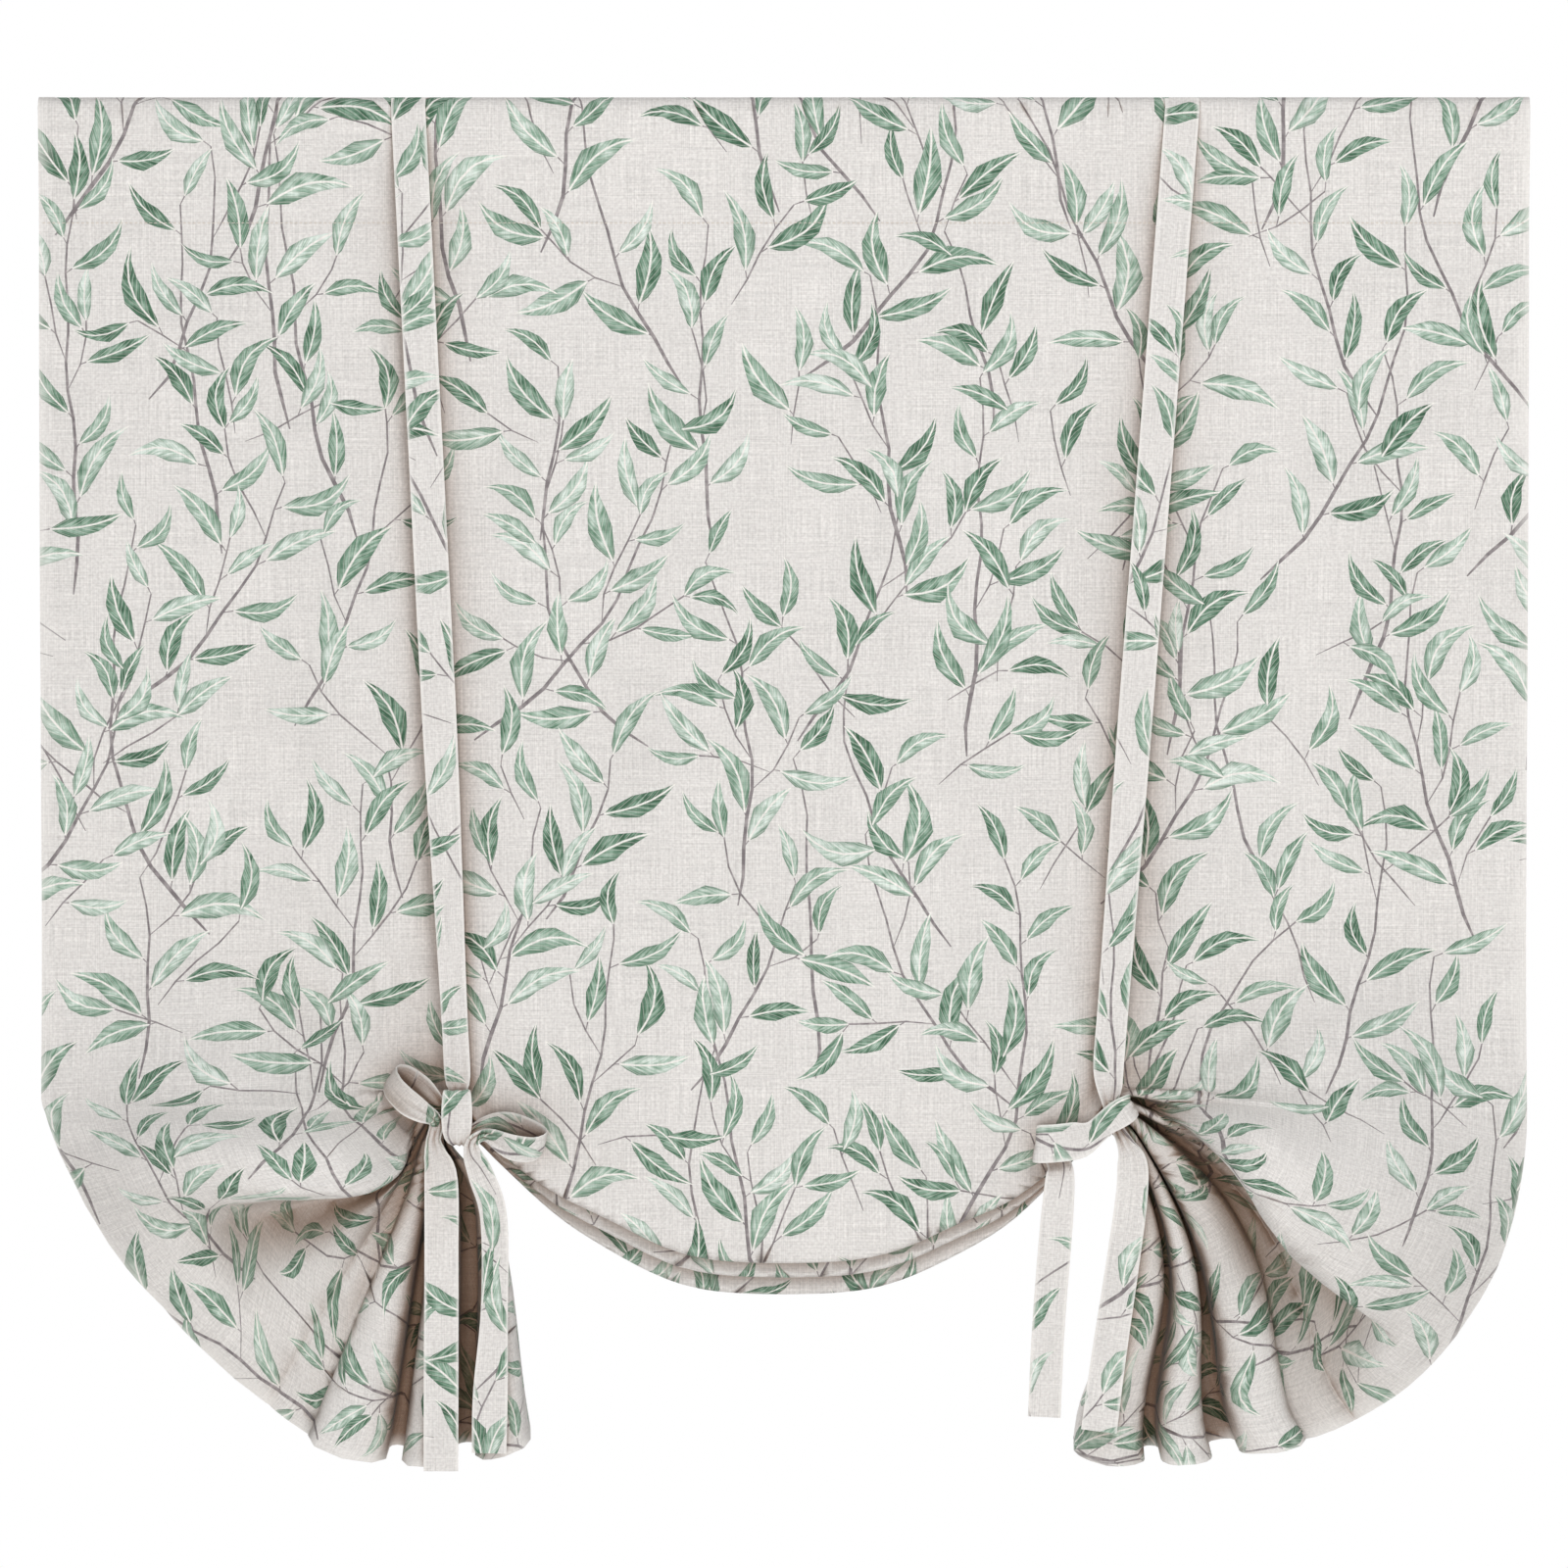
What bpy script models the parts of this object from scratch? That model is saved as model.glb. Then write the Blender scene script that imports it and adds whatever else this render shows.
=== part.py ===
"""Tie-up window shade: a hanging cloth panel, folded up from below and held by two pairs of ties.

Metres, +Z up. X runs across the window and -Y faces the room. The origin is the centre of the
rod pocket. The cloth is worked out as a surface over its own flat coordinates: "across" runs from
the middle of the panel to its side hems, and "down" from the header fold to the bottom hem.
"""

import math

import bmesh
import bpy
import numpy as np

# Panel, laid flat
PANEL_WIDTH = 1.168
PANEL_LENGTH = 1.600
POCKET_HEIGHT = 0.097
CLOTH_THICKNESS = 0.0012

# Rod pocket, hanging open as it does on a rod
ROD_ROOM_RADIUS = 0.0105
SEAM_SPREAD = 0.0009

# The two gathers, where the ties squeeze the folded cloth
GATHER_ACROSS = 0.264
GATHER_X = 0.257
BUNDLE_RADIUS = 0.0175
BUNDLE_PITCH = 0.0035
NECK = 0.008

# Swag between the gathers
SWAG_DROP = 0.939
SWAG_SLOPE = (0.62, 0.55)
SWAG_FLAT = (0.090, 0.088)
SWAG_RISE = (0.36, 0.51)
SWAG_RISE_FROM = 0.185
SWAG_SOFTNESS = 0.020
SWAG_RISE_SOFTNESS = 0.010
SWAG_PITCH = 0.0065
SWAG_HALF_STACK = 0.0365
SWAG_SET_BACK = 0.017

# Fan-shaped tails beyond the gathers
FAN_TOP_DEPTH = 0.785
BILLOW = 0.105
BILLOW_AT_HEM = 0.018

# The folded cloth turns nine times: even turns face the room or the floor, odd ones the wall or
# the ceiling. The last value of each list is the bottom hem.
TURNS = 9
FADING_TURNS = 4
# Pleats of the tails: how much of each leg rounds into a front lobe or a back valley, and how much
# of a turn's height is in that round; and how much shorter the cloth hangs where it lies behind
LOBE_SHARE = 0.28
LOBE_BEND = 0.62
VALLEY_SHARE = 0.10
VALLEY_BEND = 0.30
VALLEY_LIFT = 0.22
SWAG_TURNS = (-0.0105, 0.0625, -0.0225, 0.050, -0.0365, 0.0365, -0.0245, 0.0425, -0.0125, 0.0575)
HEM_TURNS = (0.0, 0.0, 0.0, 0.014, -0.032, 0.024, -0.037, 0.022, -0.034, 0.020)

# Angle of the fan below level, by leg of the folded cloth, at the hem and close to the gather
FAN_LEGS = (-0.7, 0.5, 1.5, 2.5, 3.0, 4.0, 5.0, 6.0, 7.0, 8.0)
FAN_HEM = (
    (0.0, 21.7, 39.8, 60.0, 67.5, 80.5, 83.0, 89.5, 91.0, 99.0),
    (0.0, 19.3, 35.3, 54.0, 61.5, 71.5, 76.0, 83.5, 86.0, 97.0),
)
FAN_ROOT = (
    (0.0, 34.0, 50.0, 60.0, 67.0, 79.0, 83.0, 91.0, 94.0, 103.0),
    (0.0, 24.0, 31.0, 34.0, 39.0, 58.8, 60.0, 66.5, 68.5, 80.0),
)
# Share of those angles at the gather itself, which the cloth leaves more levelly
NECK_ANGLES = (0.80, 0.97)
# How far the last legs of the fan hang in towards the swag
HANG_IN = (0.024, 0.004)
# Lower lip of the puffed cloth, where it hangs over the fan, by distance from the gather
LIP_PLACES = (0.0, 0.12, 0.20, 0.32, 0.43, 0.54, 0.65, 0.80, 1.0)
LIP_ANGLES = (
    (66.0, 66.0, 64.0, 52.0, 38.0, 28.0, 22.5, 18.5, 15.0),
    (0.0, 13.0, 26.0, 34.0, 40.5, 43.0, 42.5, 41.0, 40.0),
)
LIP_LEG = 0.95
LIP_TUCK = (8.0, 10.0)
LIP_FADES = (0.65, 0.72)
UNDER_LEG = 2.5
# How far the cloth under the lip bellies out
BELLY = (0.030, 0.012)
# Reach of the side hem from the gather, by angle, as a share of the tail's flat width
TAIL_WIDTH = PANEL_WIDTH / 2.0 - GATHER_ACROSS - NECK
REACH_ANGLES = (0.0, 12.0, 24.0, 36.0, 48.0, 60.0, 70.0, 80.0, 92.0, 104.0)
REACH = (
    (1.013, 0.952, 0.913, 0.877, 0.875, 0.891, 0.933, 0.929, 0.904, 0.859),
    (1.013, 1.018, 1.027, 1.021, 1.010, 0.990, 0.946, 0.923, 0.913, 0.881),
)


def ramp(low, high, value):
    t = np.clip((value - low) / (high - low), 0.0, 1.0)
    return t * t * (3.0 - 2.0 * t)


def mix(a, b, t):
    return a + (b - a) * t


def by_side(pair, across):
    return np.where(across < 0, pair[0], pair[1])


def side_table(value, knots, tables, across):
    left = np.interp(value, knots, tables[0])
    right = np.interp(value, knots, tables[1])
    return np.where(across < 0, left, right)


def swag_line(x, across):
    over = (x - by_side(SWAG_FLAT, across)) / SWAG_SOFTNESS
    beyond = (x - SWAG_RISE_FROM) / SWAG_RISE_SOFTNESS
    lifted = by_side(SWAG_SLOPE, across) * SWAG_SOFTNESS * np.logaddexp(0.0, over)
    lifted = lifted + by_side(SWAG_RISE, across) * SWAG_RISE_SOFTNESS * np.logaddexp(0.0, beyond)
    return SWAG_DROP - lifted


def bundle_turn(turn):
    """How far a turn stands out from the middle of the round, squeezed bundle."""
    off = (np.minimum(turn, TURNS - 0.5) - (TURNS - 1) / 2.0) * BUNDLE_PITCH
    reach = np.sqrt(np.maximum(BUNDLE_RADIUS**2 - off**2, 0.0))
    return reach * np.where(turn % 2 == 0, -1.0, 1.0)


def column(across):
    """What the folds depend on across the panel, and not on the distance down it."""
    span = np.abs(across) - GATHER_ACROSS
    c = {"side": np.where(across < 0, -1.0, 1.0)}
    c["open"] = 1.0 - ramp(-0.14, -NECK, span)
    c["radius"] = np.maximum(span - NECK, 0.0)
    c["rho"] = c["radius"] / TAIL_WIDTH
    c["turned"] = math.pi / 2.0 * ramp(-0.045, 0.03, span)
    c["pitch"] = mix(BUNDLE_PITCH, SWAG_PITCH, c["open"])
    c["x"] = GATHER_X + np.where(span < 0, span * GATHER_X / GATHER_ACROSS, np.minimum(span, NECK))
    half = mix(BUNDLE_RADIUS, SWAG_HALF_STACK, c["open"])
    necked = np.minimum(c["x"] + NECK, GATHER_X)
    c["depth"] = mix(swag_line(necked, across) - half, FAN_TOP_DEPTH, c["rho"])
    c["set_back"] = SWAG_SET_BACK * c["open"]
    turns = np.arange(TURNS + 1.0)[:, None]
    tight = bundle_turn(turns)
    swag = np.array(SWAG_TURNS)[:, None]
    hem = np.array(HEM_TURNS)[:, None]
    unfolding = np.where(turns < FADING_TURNS, ramp(0.0, 0.30, c["rho"]), c["rho"])
    c["turns"] = np.where(span < 0, mix(tight, swag, c["open"]), mix(tight, hem, unfolding))
    first = swag_line(necked, across) - half - c["turns"][0]
    at_gather = swag_line(GATHER_X, across) - BUNDLE_RADIUS - bundle_turn(0.0)
    c["first_turn"] = np.where(span < 0, first, at_gather)
    c["leg"] = (PANEL_LENGTH - c["first_turn"]) / TURNS
    wide = ramp(0.02, 0.45, c["rho"]) * np.where(turns < FADING_TURNS, 0.0, 1.0)
    faces_room = turns % 2 == 0
    tight_share = np.clip(math.pi / 4.0 * c["pitch"] / c["leg"], 0.03, 0.3)
    c["share"] = mix(tight_share, np.where(faces_room, LOBE_SHARE, VALLEY_SHARE), wide)
    tight_bend = np.minimum(0.5 * c["pitch"], 0.45 * np.abs(c["turns"]))
    round_bend = np.where(faces_room, LOBE_BEND, VALLEY_BEND) * np.abs(c["turns"])
    c["bend"] = mix(tight_bend, round_bend, wide) * np.sign(c["turns"])
    c["bend"][TURNS] = 0.0
    return c


def folded(c, down):
    """Leg number (whole along a leg, halves at the turns) and height from the bundle's middle."""
    place = (down - c["first_turn"]) / c["leg"]
    near = np.clip(np.round(place), 0, TURNS - 1).astype(int)
    columns = np.arange(len(place))
    share = c["share"][near, columns]
    local = np.clip((place - near) / share, -1.0, 1.0)
    leg = near - 0.5 + 0.5 * np.sin(local * math.pi / 2.0)
    reach = c["turns"]
    bend = c["bend"]
    start = np.clip(np.floor(place), 0, TURNS - 1).astype(int)
    first = reach[start, columns] - bend[start, columns]
    last = reach[start + 1, columns] - bend[start + 1, columns]
    before = c["share"][start, columns]
    after = np.where(start == TURNS - 1, 0.0, c["share"][start + 1, columns])
    t = np.clip((place - start - before) / (1.0 - before - after), 0.0, 1.0)
    straight = mix(first, last, t)
    round_turn = reach[near, columns] - bend[near, columns] * (1.0 - np.cos(local * math.pi / 2.0))
    height = np.where(np.abs(local) < 1.0, round_turn, straight)
    above = np.maximum(-place - share, 0.0) * c["leg"] * (1.0 - ramp(0.0, 0.15, c["rho"]))
    height = np.where(place < -share, reach[0] - bend[0] + above, height)
    return place, leg, height


def fan_angle(c, place, leg, across):
    """Angle below level at which each point leaves the gather, in degrees."""
    opened = ramp(0.0, 0.30, c["rho"]) * (1.0 - ramp(2.6, 3.4, place - 0.5))
    spread = mix(leg, place - 0.5, opened)
    at_hem = side_table(spread, FAN_LEGS, FAN_HEM, across)
    at_root = side_table(spread, FAN_LEGS, FAN_ROOT, across)
    grown = ramp(0.15, 0.95, c["rho"])
    angle = mix(at_root, at_hem, grown)
    lip = side_table(c["rho"], LIP_PLACES, LIP_ANGLES, across)
    fading = 1.0 - ramp(by_side(LIP_FADES, across), 0.97, c["rho"])
    tuck = by_side(LIP_TUCK, across) * ramp(0.18, 0.45, c["rho"]) * fading
    under_root = side_table(UNDER_LEG, FAN_LEGS, FAN_ROOT, across)
    under = mix(under_root, side_table(UNDER_LEG, FAN_LEGS, FAN_HEM, across), grown)
    before = (lip - tuck) * (np.clip(spread, -0.7, LIP_LEG) + 0.7) / (LIP_LEG + 0.7)
    after = mix(lip - tuck, under, np.clip((spread - LIP_LEG) / (UNDER_LEG - LIP_LEG), 0.0, 1.0))
    puffed = np.where(spread < LIP_LEG, before, after)
    puffed = puffed + tuck * np.exp(-(((spread - LIP_LEG) / 0.30) ** 2))
    angle = np.where(spread < UNDER_LEG, mix(angle, puffed, ramp(0.06, 0.25, c["rho"])), angle)
    return angle * mix(by_side(NECK_ANGLES, across), 1.0, ramp(0.0, 0.28, c["rho"]))


def billow(c, place, across):
    """How far the puffed cloth round a gather stands out towards the room."""
    leg = place - 0.5
    near = 1.0 - ramp(0.2, 0.6, c["rho"])
    rise = ramp(mix(-2.3, -1.5, near), mix(0.7, 0.2, near), leg)
    fall = 1.0 - ramp(LIP_LEG - 0.15, mix(1.55, 3.0, ramp(0.6, 1.0, c["rho"])), leg)
    swell = BILLOW * np.sin(math.pi * c["rho"] ** 0.85) * ramp(-0.02, 0.34, c["rho"])
    swell = swell + BILLOW_AT_HEM * c["rho"]
    below_lip = ramp(1.3, 2.2, leg) * (1.0 - ramp(2.2, 3.2, leg))
    belly = by_side(BELLY, across) * np.sin(math.pi * c["rho"]) * below_lip
    return swell * rise * fall + belly


def sheet_forward(across, down, c):
    """The hanging front of the panel: how far each point lies behind the pocket's middle."""
    waves = 0.0035 * np.sin(across * 27.0 + 0.6) + 0.0025 * np.sin(across * 49.0 + 2.0)
    waves = waves * ramp(POCKET_HEIGHT, 0.5, down) * (1.0 - 0.8 * ramp(0.65, 0.85, down))
    at_bundle = c["set_back"] - 0.5 * TURNS * c["pitch"] * np.cos(c["turned"])
    hung = mix(-SEAM_SPREAD, at_bundle, ramp(0.25, 0.80, down))
    return hung + waves


def cloth(across, down):
    """Points of the middle of the cloth below the pocket seam, as an array of x, y, z."""
    c = column(across)
    place, leg, height = folded(c, down)
    angle = fan_angle(c, place, leg, across)
    reach = side_table(angle, REACH_ANGLES, REACH, across) * TAIL_WIDTH * c["rho"]
    behind = np.maximum(height + 0.034, 0.0) * c["rho"] * ramp(3.0, 3.8, place)
    reach = reach - VALLEY_LIFT * behind
    angle = np.radians(angle)
    hang_in = by_side(HANG_IN, across) * ramp(4.5, TURNS - 1.0, leg) * ramp(0.05, 0.24, c["rho"])
    stack = (leg - (TURNS - 2) / 2.0) * c["pitch"] * (1.0 - c["rho"])
    turned = c["turned"]
    x = c["x"] + reach * np.cos(angle) - hang_in
    y = c["set_back"] + stack * np.cos(turned) + height * np.sin(turned)
    depth = c["depth"] + stack * np.sin(turned) + reach * np.sin(angle) - height * np.cos(turned)

    at_gather = c["x"] + c["rho"] * TAIL_WIDTH * REACH[0][0]
    sheet_x = mix(np.abs(across), at_gather, ramp(POCKET_HEIGHT, FAN_TOP_DEPTH, down))
    sheet_y = sheet_forward(across, down, c)
    hanging = ramp(0.0, 0.036, c["first_turn"] - down)
    x = mix(x, sheet_x, hanging) * c["side"]
    y = mix(y, sheet_y, hanging) - billow(c, place, across)
    lift = 0.5 * TURNS * c["pitch"] * (1.0 - c["rho"]) * np.sin(turned)
    lift = lift * (1.0 - ramp(0.02, 0.16, c["first_turn"] - down))
    depth = mix(depth, down - lift, hanging)
    return np.stack([x, y, POCKET_HEIGHT / 2.0 - depth], axis=-1)


def cloth_faces(across, down, thickness):
    """Front and back of the cloth at each point, half a thickness to each side of its middle."""
    step = 0.0004
    middle = cloth(across, down)
    along = cloth(across + step, down) - cloth(across - step, down)
    downward = cloth(across, down + step) - cloth(across, down - step)
    normal = np.cross(along, downward)
    normal /= np.linalg.norm(normal, axis=-1, keepdims=True)
    return middle - normal * thickness / 2.0, middle + normal * thickness / 2.0


def column_places():
    """Places across the panel, closer together where the cloth turns through the gathers."""
    shares = (0.0, 0.15, 0.29, 0.43, 0.56, 0.68, 0.78, 0.86, 0.92, 0.965)
    steps = [(GATHER_ACROSS - NECK) * share for share in shares]
    steps += [GATHER_ACROSS - NECK, GATHER_ACROSS]
    shares = (0.0, 0.025, 0.06, 0.11, 0.19, 0.29, 0.41, 0.54, 0.68, 0.84, 1.0)
    steps += [GATHER_ACROSS + NECK + TAIL_WIDTH * share for share in shares]
    return np.array([-s for s in reversed(steps[1:])] + steps)


def row_places(across):
    """Distances down the cloth for one column: the hanging front, then three or five to each turn."""
    c = column(np.array([across]))
    first = c["first_turn"][0]
    leg = c["leg"][0]
    spread = ramp(0.12, 0.32, c["rho"][0])
    raised = 0.020 * spread
    front = first - 0.045 - raised
    rows = list(np.linspace(POCKET_HEIGHT, front, 10))
    rows += [first - 0.030 - raised, first - 0.015 - raised]
    for turn in range(TURNS):
        faded = turn < FADING_TURNS
        share = c["share"][turn, 0] * 0.98
        after = c["share"][turn + 1, 0] if turn < TURNS - 1 else 0.0
        share = mix(share, 0.25, spread) if faded else share
        after = mix(after, 0.25, spread) if turn + 1 < FADING_TURNS else after
        rounding = (-1.0, 0.0, 1.0) if faded or turn % 2 else (-1.0, -0.5, 0.0, 0.5, 1.0)
        rows += [first + leg * (turn + share * at) for at in rounding]
        rows.append(first + leg * (turn + mix(share, 1.0 - after, 0.5)))
    rows.append(PANEL_LENGTH)
    return np.array(rows)


bpy.ops.object.select_all(action="DESELECT")
for old in list(bpy.data.objects):
    bpy.data.objects.remove(old, do_unlink=True)


def cloth_material(name, colour, roughness):
    material = bpy.data.materials.new(name)
    material.use_nodes = True
    shader = material.node_tree.nodes["Principled BSDF"]
    shader.inputs["Base Color"].default_value = (*colour, 1.0)
    shader.inputs["Roughness"].default_value = roughness
    shader.inputs["Metallic"].default_value = 0.0
    return material


def add_object(name, mesh_builder, material):
    mesh = bpy.data.meshes.new(name)
    bmesh.ops.recalc_face_normals(mesh_builder, faces=mesh_builder.faces)
    mesh_builder.to_mesh(mesh)
    mesh_builder.free()
    mesh.shade_smooth()
    mesh.materials.append(material)
    made = bpy.data.objects.new(name, mesh)
    bpy.context.scene.collection.objects.link(made)
    return made


def pocket_outline(inside):
    """Teardrop section of the rod pocket, from the seam up the front, over the top and down."""
    shift = -CLOTH_THICKNESS / 2.0 if inside else CLOTH_THICKNESS / 2.0
    radius = ROD_ROOM_RADIUS + CLOTH_THICKNESS / 2.0 + shift
    centre = ROD_ROOM_RADIUS + CLOTH_THICKNESS
    foot = SEAM_SPREAD + shift
    front = [(-foot, POCKET_HEIGHT), (-mix(foot, radius, 0.55), mix(POCKET_HEIGHT, centre, 0.55))]
    crown = []
    for step in range(9):
        angle = math.pi * step / 8.0
        crown.append((-radius * math.cos(angle), centre - radius * math.sin(angle)))
    back = [(-y, depth) for y, depth in reversed(front)]
    outline = front + crown + back
    if inside:
        tip = POCKET_HEIGHT - 0.004
        outline[0] = outline[-1] = (0.0, tip)
    return outline


def build_panel():
    """One cloth: rod pocket, hanging front, and the folds below, as a single closed solid."""
    bm = bmesh.new()
    outer = pocket_outline(inside=False)
    inner = pocket_outline(inside=True)
    turn_count = len(outer) - 1
    previous = None
    for across in column_places():
        rows = row_places(across)
        wide = np.full(len(rows), across)
        front, back = cloth_faces(wide, rows, CLOTH_THICKNESS)
        z_of = POCKET_HEIGHT / 2.0
        loop = [bm.verts.new((across, y, z_of - depth)) for y, depth in outer]
        hole = [bm.verts.new((across, y, z_of - depth)) for y, depth in inner[:-1]]
        hole.append(hole[0])
        face = [loop[0]] + [bm.verts.new(p) for p in front[1:]]
        rear = [bm.verts.new(p) for p in back[1:]]
        rear.insert(0, loop[-1])
        if previous:
            old_loop, old_hole, old_face, old_rear = previous
            for i in range(turn_count):
                bm.faces.new((old_loop[i], loop[i], loop[i + 1], old_loop[i + 1]))
                bm.faces.new((old_hole[i], old_hole[i + 1], hole[i + 1], hole[i]))
            for i in range(len(face) - 1):
                bm.faces.new((old_face[i], old_face[i + 1], face[i + 1], face[i]))
                bm.faces.new((old_rear[i], rear[i], rear[i + 1], old_rear[i + 1]))
            bm.faces.new((old_face[-1], old_rear[-1], rear[-1], face[-1]))
        if previous is None or across == column_places()[-1]:
            for i in range(turn_count):
                bm.faces.new([loop[i], loop[i + 1], hole[i + 1], hole[i]])
            bm.faces.new([face[0], hole[0], rear[0]])
            for i in range(len(face) - 1):
                bm.faces.new([face[i], face[i + 1], rear[i + 1], rear[i]])
        previous = (loop, hole, face, rear)
    printed = cloth_material("printed_cloth", (0.62, 0.62, 0.55), 0.9)
    return add_object("panel", bm, printed)


# Ties: flat sewn tubes of the panel's cloth
TIE_WIDTH = 0.027
TIE_THICKNESS = 0.0022
TIE_CLEARANCE = 0.0004
SQUEEZED_WIDTH = 0.010

# Each knot stands in front of its gather; the header end of each tie is a little further out
KNOT_X = (-0.2551, 0.2536)
KNOT_DEPTH = (FAN_TOP_DEPTH + 0.012, FAN_TOP_DEPTH + 0.014)
TIE_TOP_X = (-0.294, 0.3115)

# Layers of the knots, as distances in front of the middle of the gathered cloth
LAYER_INNER = -0.0202
LAYER_OVER = -0.0239
LAYER_RETURN = -0.0277
LAYER_FACE = -0.0345

# Routes from above each knot to the free end: sideways, forward, up from the knot's middle,
# width, the turn of the strip's width in degrees (0 lies across, -90 hangs down), and the tilt
# of its width towards the wall
LEFT_FRONT_ROUTE = (
    (0.000, LAYER_INNER, 0.030, 0.020, 0, 0), (0.000, LAYER_INNER, 0.018, 0.013, 0, 0),
    (-0.003, LAYER_INNER, 0.009, 0.011, -40, 0), (-0.012, LAYER_INNER, 0.007, 0.011, -92, 5),
    (-0.021, -0.0240, 0.0135, 0.018, -115, 15), (-0.032, -0.0290, 0.0235, 0.025, -121, 32),
    (-0.044, -0.0335, 0.0315, 0.026, -122, 38), (-0.0515, -0.0395, 0.0310, 0.026, -122, 38),
    (-0.0490, -0.0450, 0.0225, 0.026, -122, 38), (-0.0385, -0.0460, 0.0115, 0.025, -122, 34),
    (-0.0275, -0.0405, 0.0035, 0.018, -118, 18), (-0.0185, -0.0320, -0.0015, 0.012, -118, 0),
    (-0.0160, -0.0285, -0.008, 0.011, -150, 0), (-0.0185, LAYER_RETURN, -0.018, 0.011, -178, 0),
    (-0.0170, -0.0285, -0.030, 0.018, -180, 0), (-0.0125, -0.030, -0.050, 0.026, -180, 0),
    (-0.012, -0.033, -0.110, 0.0265, -176, 0), (-0.012, -0.038, -0.190, 0.027, -183, 0),
    (-0.012, -0.043, -0.276, 0.027, -180, 0),
)
LEFT_BACK_ROUTE = (
    (0.000, -0.0217, -0.0085, 0.011, 0, 0), (0.000, LAYER_OVER, -0.002, 0.012, 0, 0),
    (0.000, LAYER_OVER, 0.010, 0.014, 0, 0), (0.000, -0.0262, 0.0175, 0.018, 0, 0),
    (0.000, -0.0312, 0.0195, 0.021, 0, 0), (0.000, LAYER_FACE, 0.013, 0.023, 0, 0),
    (0.000, -0.0353, 0.000, 0.024, 0, 0), (0.000, LAYER_FACE, -0.013, 0.022, 0, 0),
    (0.0005, -0.0330, -0.0195, 0.016, 0, 0), (0.002, -0.0300, -0.0215, 0.010, -5, 0),
    (0.005, LAYER_RETURN, -0.0185, 0.0085, -35, 0), (0.0115, LAYER_RETURN, -0.0125, 0.009, -65, 0),
    (0.025, -0.0300, -0.0075, 0.017, -93, 15), (0.041, -0.0325, -0.0075, 0.025, -100, 32),
    (0.058, -0.0365, -0.0125, 0.026, -104, 38), (0.0685, -0.0420, -0.0200, 0.026, -105, 38),
    (0.0600, -0.0480, -0.0255, 0.026, -104, 38), (0.043, -0.0485, -0.0235, 0.025, -98, 34),
    (0.0295, -0.0430, -0.0170, 0.016, -90, 16), (0.0215, -0.0375, -0.0145, 0.009, -72, 0),
    (0.0180, -0.0360, -0.0200, 0.008, -30, 0), (0.0190, -0.0355, -0.0300, 0.010, 5, 0),
    (0.0240, -0.0355, -0.046, 0.016, 0, 0), (0.0305, -0.0370, -0.080, 0.018, 4, 0),
    (0.0295, -0.0395, -0.150, 0.021, -3, 0), (0.0265, -0.0425, -0.215, 0.027, 2, 0),
    (0.0255, -0.0430, -0.262, 0.027, 0, 0),
)
RIGHT_FRONT_ROUTE = (
    (0.0000, -0.0215, 0.042, 0.024, 0, 0), (0.0005, -0.0238, 0.024, 0.020, 0, 0),
    (0.0010, -0.0264, 0.011, 0.012, 3, 0), (0.0040, -0.0266, -0.001, 0.010, 5, 0),
    (0.0085, -0.0262, -0.011, 0.010, 3, 0), (0.0135, -0.0275, -0.021, 0.014, 0, 0),
    (0.0180, -0.0305, -0.034, 0.023, -4, 0), (0.0175, -0.0330, -0.060, 0.025, -8, 0),
    (0.0100, -0.0360, -0.115, 0.026, -7, 0), (0.0000, -0.0400, -0.180, 0.027, -8, 0),
    (-0.0085, -0.0430, -0.243, 0.028, -6, 0),
)
RIGHT_BACK_ROUTE = (
    (0.0034, LAYER_INNER, -0.0080, 0.009, 0, 0), (0.0050, LAYER_INNER, 0.0010, 0.009, -12, 0),
    (0.0100, -0.0220, 0.0085, 0.010, -40, 0), (0.0155, -0.0258, 0.0120, 0.013, -58, 0),
    (0.0180, -0.0310, 0.0115, 0.017, -64, 0), (0.0150, -0.0362, 0.0085, 0.021, -66, 0),
    (0.0060, -0.0385, 0.0030, 0.022, -64, 0), (-0.0040, -0.0380, -0.0040, 0.019, -66, 0),
    (-0.0120, -0.0370, -0.0110, 0.020, -78, 0), (-0.0220, -0.0380, -0.0160, 0.028, -88, 0),
    (-0.0380, -0.0400, -0.0185, 0.031, -94, 0), (-0.0530, -0.0385, -0.0195, 0.030, -96, 0),
    (-0.0575, -0.0335, -0.0200, 0.028, -96, 0), (-0.0520, -0.0290, -0.0215, 0.025, -92, 0),
    (-0.0435, -0.0280, -0.0265, 0.020, -120, 0), (-0.0385, -0.0300, -0.0365, 0.019, -160, 0),
    (-0.0385, -0.0335, -0.0480, 0.023, -176, 0), (-0.0415, -0.0375, -0.085, 0.0255, -183, 0),
    (-0.0475, -0.0400, -0.160, 0.0255, -184, 0), (-0.0510, -0.0410, -0.232, 0.0255, -182, 0),
)


def panel_surface(x, depth, behind):
    """The panel's front or back face at a place on a tie, over the tie's whole width."""
    across = x + np.linspace(-0.03, 0.03, 25)
    front, back = cloth_faces(across, np.full(25, depth), CLOTH_THICKNESS)
    faces = back if behind else front
    beside = np.abs(faces[:, 0] - x) < 0.6 * TIE_WIDTH
    return faces[beside, 1].max() if behind else faces[beside, 1].min()


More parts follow.
